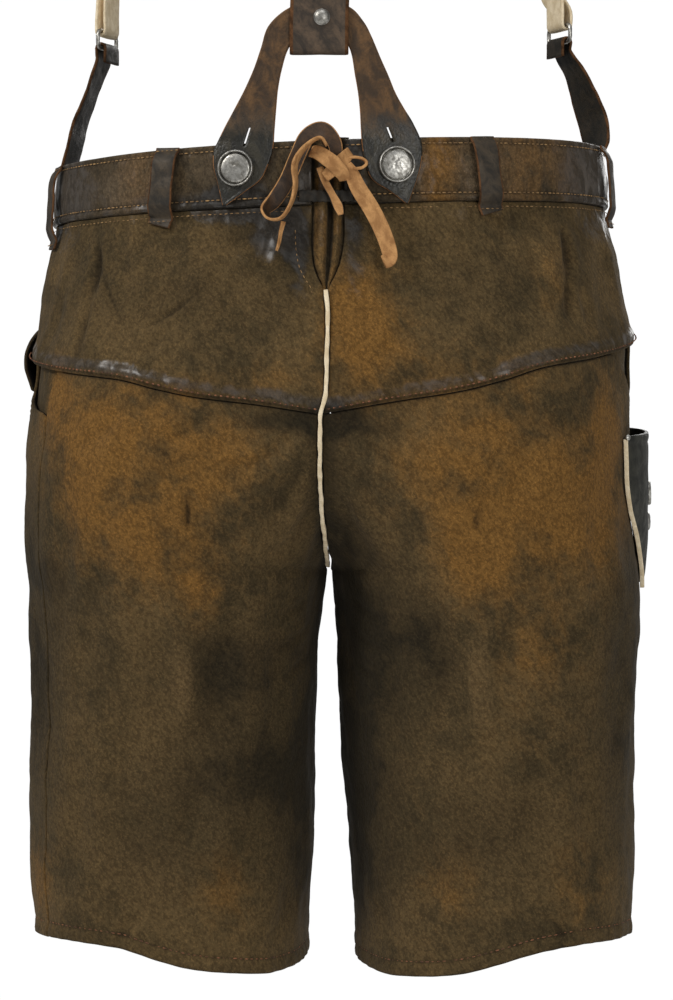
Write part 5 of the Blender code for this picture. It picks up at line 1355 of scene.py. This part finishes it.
for side, x, z in (("left", -54.8, 3.0), ("right", 39.2, 5.0)):
    slope = unit(rear_face(x + 2, z) - rear_face(x - 2, z))
    out = unit(np.array([slope[1], -slope[0], 0]))
    button = turned("silver_back_button_" + side, button_profile(BACK_BUTTON, 3.2),
                    rear_face(x, z) + out * (WISHBONE_WALL / 2 + GAP + 0.15), out, dents=0.22)
    settle(button, "old_silver", "back_button_" + side)
for hand, side in ((-1, "left"), (1, "right")):
    button = turned("silver_tab_button_" + side, button_profile(SMALL_BUTTON, 3.0),
                    skin(hand, 0.0, TAB_ALONG, BAND_RAISE + TAB_CLEAR + STRAP_WALL + 0.6),
                    out_way(hand, 0.0, TAB_ALONG), dents=0.4)
    settle(button, "old_silver", "tab_button_" + side)
    along = float(reach(FLAP_BUTTON_HEIGHT, 1)) - FLAP_BUTTON_ACROSS
    button = turned("silver_flap_button_" + side, button_profile(SMALL_BUTTON, 3.0),
                    skin(hand, FLAP_BUTTON_HEIGHT, along, 5.2), out_way(hand, FLAP_BUTTON_HEIGHT, along),
                    dents=0.4)
    settle(button, "old_silver", "flap_button_" + side)

# ==== Pocket lip and knife pocket ================================================================
# The left side pocket's lip curls open. On the right a stiff green-black leather pocket for a knife
# stands off the trouser seam, piped in cream, with a small button and a round stud.

# Height, and how far the lip's free edge stands out.
LIP = [
    (-80, 0.0), (-84, 2.4), (-90, 4.6), (-97, 5.6), (-104, 5.2), (-110, 3.4), (-115, 1.4), (-119, 0.0),
]
LIP_START, LIP_WIDTH, LIP_WALL = 3.5, 27.5, 1.6
z = np.linspace(LIP[0][0], LIP[-1][0], 50)[:, None]
share = np.linspace(1, 0, 30)[None, :]
out = GAP + 1.0 + smooth(LIP[::-1], z) * (1 - share ** 1.5)
along = LIP_START + LIP_WIDTH * share + 0 * z
base = bare(-1, z, along)
edge = np.minimum(np.minimum(share, 1 - share) * LIP_WIDTH, np.minimum(LIP[0][0] - z, z - LIP[-1][0]))
lip = shell("lip_pocket_left", base, out_way(-1, z, along), LIP_WALL, [suede],
            {"rust": 0 * edge, "soot_and_shade": 0.7 + 0 * edge, "wax": 0.3 + 0 * edge, "painted_shade_and_dark_edge": 0 * edge,
             "rubbed_and_highlight": 0.3 * hump(edge, 0, 1.5)},
            out + 0.8 + fold_height(-1, z, along) + ripple(base, 8.0, 3.6) * 0.3 + rounded(edge, LIP_WALL))
settle(lip, "brown_suede", "pocket_lip_left")

# Height, rear and front edge from the side line, and how far the middle stands out.
KNIFE_POCKET = [
    (-150, -66, 6, 9.2), (-160, -66, 6, 9.4), (-180, -66, 6, 9.0), (-198, -57, 6, 8.2),
    (-208, -48, 7, 7.2), (-222, -34, 8, 5.2), (-236, -20, 9, 2.6), (-243, -13, 9, 1.0),
]
POCKET_TOP, POCKET_FOOT = -150, -243
POCKET_WALL, POCKET_SLANT = 1.8, 6.0          # the mouth slants down by this much to the rear
pocket_leather = plain_leather("green-black pocket leather", colour(30, 30, 25), colour(58, 57, 48), 0.5, 0.4,
                               0.0006, 1.2)


def pocket_point(z, share, extra=0.0):
    rear, front, bulge = (smooth(KNIFE_POCKET, z, column) for column in (1, 2, 3))
    out = GAP + 0.2 + POCKET_WALL / 2 + bulge * np.sin(math.pi * share) ** 0.55
    slant = POCKET_SLANT * (1 - share) * np.maximum(0.0, (z - POCKET_FOOT) / (POCKET_TOP - POCKET_FOOT))
    return skin(1, z - slant, rear + (front - rear) * share, out + extra)


z = np.linspace(POCKET_TOP, POCKET_FOOT, 80)[:, None]
share = ((1 - np.cos(np.linspace(0, math.pi, 64))) / 2)[None, :]
base = pocket_point(z, share)
pocket_out = unit(np.cross(np.gradient(base, axis=1), np.gradient(base, axis=0)))
side_out = out_way(1, z + 0 * share, -30 + 0 * z + 0 * share)
pocket_out *= np.sign(np.sum(pocket_out * side_out, axis=-1))[..., None]
mouth = POCKET_TOP - z + 0 * share
lift = (POCKET_WALL / 2 + ripple(base, 9.0, 1.9) * 0.25 + 0.5 * hump(mouth, 2.5, 1.8)
        - 0.4 * hump(mouth, 6, 0.9))
knife_pocket = shell("pocket_knife", base, pocket_out, POCKET_WALL, [pocket_leather], {}, lift)
settle(knife_pocket, "pocket_leather", "knife_pocket")

KNIFE_PIPING = [
    (-158, 3.2), (-170, 3.2), (-184, 3.2), (-198, 3.6), (-206, 4.0), (-214, 4.2), (-224, 4.0),
    (-236, 3.6), (-245, 3.2),
]
rows = []
for z, back_off in KNIFE_PIPING:
    slant = POCKET_SLANT * max(0.0, (z - POCKET_FOOT) / (POCKET_TOP - POCKET_FOOT))
    rows.append((*skin(1, z, float(smooth(KNIFE_POCKET, z + slant, 1)) - back_off, GAP + 1.6),
                 *unit(bare(1, z, -30) - bare(1, z, -34))))
rows = curve_through(rows, 0.9)
wobble = 2.6 + 0.3 * np.sin(np.arange(len(rows)) * 0.31)
piping = strip("piping_knife_pocket", rows[:, :3], rows[:, 3:6], wobble, 2.6, [cream], (0, 0, 0), dome=0.2)
settle(piping, "cream_leather", "knife_pocket_piping")

bead = turned("silver_piping_bead", [(0, 1.4), (1.2, 1.1), (1.7, 0.4), (1.5, 0), (0, 0)],
              rows[0, :3] + out_way(1, -158.0, -60.0) * 1.2 + np.array([0, -1.2, 1.0]), (0.4, -1, 0))
settle(bead, "old_silver")
button = turned("silver_pocket_button", button_profile(POCKET_BUTTON, 2.6),
                pocket_point(-188.0, 0.76, POCKET_WALL / 2 + GAP + 0.9), out_way(1, -188.0, -10.0), dents=0.4)
settle(button, "old_silver", "knife_pocket_button")
stud = turned("silver_pocket_plate", [(0, 1.8), (3.4, 1.7), (5.0, 1.2), (5.6, 0.6), (5.2, 0), (0, 0)],
              pocket_point(-206.5, 0.78, POCKET_WALL / 2 + GAP + 2.0),
              unit(out_way(1, -206.0, -8.0) + np.array([0, 0, -0.12])), dents=0.2)
settle(stud, "old_silver", "knife_pocket_plate")

# A thin torn strip of the thong hangs below the bow.
TORN_END = [
    (-27, -134.6, -29, 10, 3.0), (-28.5, -133.4, -35, 20, 2.2), (-29.5, -133, -41, 30, 1.8),
    (-31, -133, -46, 30, 1.2),
]
torn_end, _ = thong("thong_torn_end", TORN_END, kinds=(0, 1, 1))
settle(torn_end, "tan_thong")

# ==== Knot, short ends and keeper ================================================================
# The knot is the thong crossed over itself and drawn tight; a black strip keeps the band's edges.

# Each wrap: across, forward, height, turn in degrees and width.
WRAPS = [
    ("knot_wrap_over", [(-11, -132.0, 12, 30, 7), (-7.5, -134.6, 11.5, 14, 8.4), (-2, -136.4, 8, 4, 9),
                        (3.5, -136.6, 3.5, -6, 9), (7.5, -135.4, -1.5, -16, 8.2), (9, -133.6, -5, -30, 7)]),
    ("knot_wrap_under", [(-3, -132.4, -3, 20, 6.6), (1.5, -133.6, 1, 10, 7.6), (6, -134.0, 5.5, 0, 8),
                         (10, -133.2, 9.5, -14, 7.4), (12, -131.6, 12, -30, 6.4)]),
]
wraps = [thong(name, route, kinds=(1, 1, 1))[0] for name, route in WRAPS]
settle(wraps[0], "tan_thong", "lace_knot")
settle(wraps[1], "tan_thong")

# The short end and the small loop, in the same columns as the long end.
SHORT_END = [
    (-6, -131.0, 3, 20, 5), (-3, -130.6, -5, 14, 4.8), (1.5, -130.4, -13, 8, 4.6),
    (5.0, -130.8, -20, 0, 5.8), (6.6, -131.2, -25, 0, 3.6),
]
short_end, _ = thong("thong_short_end", SHORT_END, kinds=(1, 1, 0))
settle(short_end, "tan_thong", "lace_short_end")
SMALL_LOOP = [
    (10.5, -130.2, 8.5, 78, 6.4), (15, -131, 9, 82, 6), (19.5, -131.6, 7.8, 88, 5.6),
    (21.6, -132.8, 5, 92, 5.4), (19, -133.8, 2.4, 96, 5.6), (14, -134.6, 1.6, 100, 6),
]
small_loop, _ = thong("thong_small_loop", SMALL_LOOP, kinds=(1, 1, 1))
settle(small_loop, "tan_thong", "lace_small_loop")

KEEPER_HEIGHT = -13.5
keeper_depth = float(smooth(BODY, KEEPER_HEIGHT, 3)) + BAND_RAISE + GAP + 1.1
path = np.array([(x, -keeper_depth - 0.2 * math.sin(x), KEEPER_HEIGHT) for x in np.linspace(-18, 14, 70)])
keeper = strip("keeper_strip", path, np.tile([0, 0, 1.0], (70, 1)), 7 + 0.6 * np.sin(path[:, 0] * 1.9), 1.4,
               [tab_leather], (0, 0, 0), dome=0.3)
settle(keeper, "dark_leather", "lace_keeper")

# ==== Stitches ===================================================================================
# Waxed thread, about six stitches to 20 mm; every stitch is a short capsule laid along its seam.

stitch_maker = bpy.data.node_groups.new("stitches along a seam", "GeometryNodeTree")
stitch_maker.interface.new_socket(name="Geometry", in_out="INPUT", socket_type="NodeSocketGeometry")
sockets = {}
for socket, kind, value in (("Pitch", "Float", 0.0032), ("Length", "Float", 0.0022),
                            ("Thread", "Float", 0.0005), ("Uneven", "Float", 0.2),
                            ("Colour", "Material", None)):
    made = stitch_maker.interface.new_socket(name=socket, in_out="INPUT", socket_type="NodeSocket" + kind)
    if value is not None:
        made.default_value = value
    sockets[socket] = made.identifier
stitch_maker.interface.new_socket(name="Geometry", in_out="OUTPUT", socket_type="NodeSocketGeometry")
given = stitch_maker.nodes.new("NodeGroupInput")
result = stitch_maker.nodes.new("NodeGroupOutput")
seam = node(stitch_maker, "GeometryNodeMeshToCurve", [(0, given.outputs["Geometry"])])
spots = node(stitch_maker, "GeometryNodeCurveToPoints", [(0, seam.outputs[0])], mode="LENGTH")
stitch_maker.links.new(given.outputs["Pitch"], spots.inputs["Length"])
ball = node(stitch_maker, "GeometryNodeMeshUVSphere", [("Segments", 8), ("Rings", 6), ("Radius", 0.5)])
stretch = node(stitch_maker, "ShaderNodeCombineXYZ",
               [(0, given.outputs["Thread"]), (1, given.outputs["Thread"]), (2, given.outputs["Length"])])
turn = node(stitch_maker, "FunctionNodeAlignRotationToVector", [("Vector", spots.outputs["Tangent"])],
            axis="Z")
random = node(stitch_maker, "FunctionNodeRandomValue", [("Seed", 7)], data_type="FLOAT")
least = node(stitch_maker, "ShaderNodeMath", [(0, 1.0), (1, given.outputs["Uneven"])], operation="SUBTRACT")
most = node(stitch_maker, "ShaderNodeMath", [(0, 1.0), (1, given.outputs["Uneven"])], operation="ADD")
stitch_maker.links.new(least.outputs[0], random.inputs[2])
stitch_maker.links.new(most.outputs[0], random.inputs[3])
size = node(stitch_maker, "ShaderNodeVectorMath", [(0, stretch.outputs[0]), (3, random.outputs[1])],
            operation="SCALE")
placed = node(stitch_maker, "GeometryNodeInstanceOnPoints",
              [("Points", spots.outputs["Points"]), ("Instance", ball.outputs["Mesh"]),
               ("Rotation", turn.outputs[0]), ("Scale", size.outputs[0])])
real = node(stitch_maker, "GeometryNodeRealizeInstances", [(0, placed.outputs[0])])
tinted = node(stitch_maker, "GeometryNodeSetMaterial",
              [("Geometry", real.outputs[0]), ("Material", given.outputs["Colour"])])
stitch_maker.links.new(tinted.outputs[0], result.inputs[0])


def thread(name, low, high):
    """Thread of two tones."""
    material, tree, shader, point = new_material(name)
    tones = grain(tree, point, 3.0)
    tree.links.new(mix(tree, ramp(tree, tones["Mottle"], 0.35, 0.65), low, high), shader.inputs["Base Color"])
    shader.inputs["Roughness"].default_value = 0.8
    return material


tan_thread = thread("tan thread", colour(96, 72, 44), colour(172, 136, 88))
dark_thread = thread("reddish thread", colour(58, 36, 22), colour(142, 92, 60))


def stitch(name, lines, material, pitch=3.2, length=2.3, width=0.7, uneven=0.25):
    """One row of stitches along each line of points, in millimetres."""
    points, edges = [], []
    for line in lines:
        edges += [(len(points) + i, len(points) + i + 1) for i in range(len(line) - 1)]
        points += (np.asarray(line) * MM).tolist()
    mesh = bpy.data.meshes.new(name)
    mesh.from_pydata(points, edges, [])
    mesh.materials.append(material)
    row = bpy.data.objects.new(name, mesh)
    bpy.context.scene.collection.objects.link(row)
    maker = row.modifiers.new("stitches", "NODES")
    maker.node_group = stitch_maker
    for socket, value in (("Pitch", pitch * MM), ("Length", length * MM), ("Thread", width * MM),
                          ("Uneven", uneven), ("Colour", material)):
        maker[sockets[socket]] = value
    made = bpy.data.meshes.new_from_object(row.evaluated_get(bpy.context.evaluated_depsgraph_get()))
    row.modifiers.clear()
    row.data = made
    made.shade_smooth()
    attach(row, "root")
    return row


def on_band(hand, fall, start, stop):
    """A line along the band, this far below its top edge."""
    z = WAIST_TOP - fall
    along = np.linspace(start, stop, max(3, int(abs(stop - start) / 2)))
    spots = skin(hand, z + 0 * along, along, BAND_RAISE + 0.15)
    spots[:, 2] += back_rise(hand, spots) * (1 - fall / BAND_SIZE[1])
    return spots


band_rows = []
for hand in (-1, 1):
    stop_front, stop_back = float(reach(0, 1)) - 2, -float(reach(0)) + 3
    band_rows += [on_band(hand, fall, stop_back, stop_front) for fall in (TOP_STITCH, LOW_STITCH)]
stitch("stitches_band", band_rows, tan_thread)

# A row under the band's lower edge, and a curved one where the gusset's left edge is caught.
UNDER_STITCH = -21.5
under = []
for hand in (-1, 1):
    along = np.linspace(-float(reach(-22)) + 14, -6, 130)
    spots = bare(hand, UNDER_STITCH, along)
    under.append(skin(hand, UNDER_STITCH + 0 * along, along, 0.9 + creases(spots)[0]))
caught = curve_through([(9.5, -34, 0.0), (9.0, -46, 0), (8.2, -58, 0), (6.5, -70, 0)], 1.0)
under.append(skin(-1, caught[:, 1], -reach(caught[:, 1]) + caught[:, 0], 0.9))
stitch("stitches_under_band", under, tan_thread, pitch=3.4, length=2.0, width=0.55)

# Each belt loop is caught down at its top and foot.
catches = []
for name, hand, top_along, foot_along, top, foot, belt_gap in LOOPS:
    for z, along in ((top - 1.8, top_along), (foot + 2.2, foot_along)):
        width_way = np.linspace(-6, 6, 9)
        catches.append(skin(hand, z + 0 * width_way, along + width_way, BAND_RAISE + GAP + 2.0))
stitch("stitches_loops", catches, tan_thread, pitch=2.8, length=1.8, width=0.6)

# The yoke seam, and the back and front hems.
seam_rows, hem_rows = [], []
for hand in (-1, 1):
    share = np.linspace(0.01, 0.99, 140)
    seam_z = seam_spot(lambda z: YOKE_SIDE + 0 * z, share)
    along = -reach(seam_z) + (reach(seam_z) + YOKE_SIDE) * share
    seam_rows.append(skin(hand, seam_z + 2.6, along, YOKE_RAISE + 1.3))
    for table, front in ((BACK_HEM, False), (FRONT_HEM, True)):
        hem_share = np.linspace(0.02, 0.98, 150)
        if front:
            begin = float(smooth(FRONT_SIDE[hand], HEM_LEVEL))
            z = smooth(FRONT_HEM, (float(reach(HEM_LEVEL, 1)) - begin) * (1 - hem_share)) + HEM_STITCH
            along = begin + (reach(z, 1) - begin) * hem_share
        else:
            limit_at = float(smooth(LEG_SIDE[hand], HEM_LEVEL))
            z = smooth(BACK_HEM[hand], (float(reach(HEM_LEVEL)) + limit_at) * hem_share) + HEM_STITCH
            along = -reach(z) + (limit_at + reach(z)) * hem_share
        base = bare(hand, z, along)
        soft = ripple(base, 34.0, 3.1) * 1.7 + ripple(base, 13.0, 7.7) * 0.7
        hem_rows.append(skin(hand, z, along, creases(base)[0] + soft - 0.5))
stitch("stitches_yoke_seam", seam_rows, dark_thread, pitch=3.4, length=1.6, width=0.9)
stitch("stitches_hems", hem_rows, dark_thread, pitch=3.6, length=2.2, width=0.8)
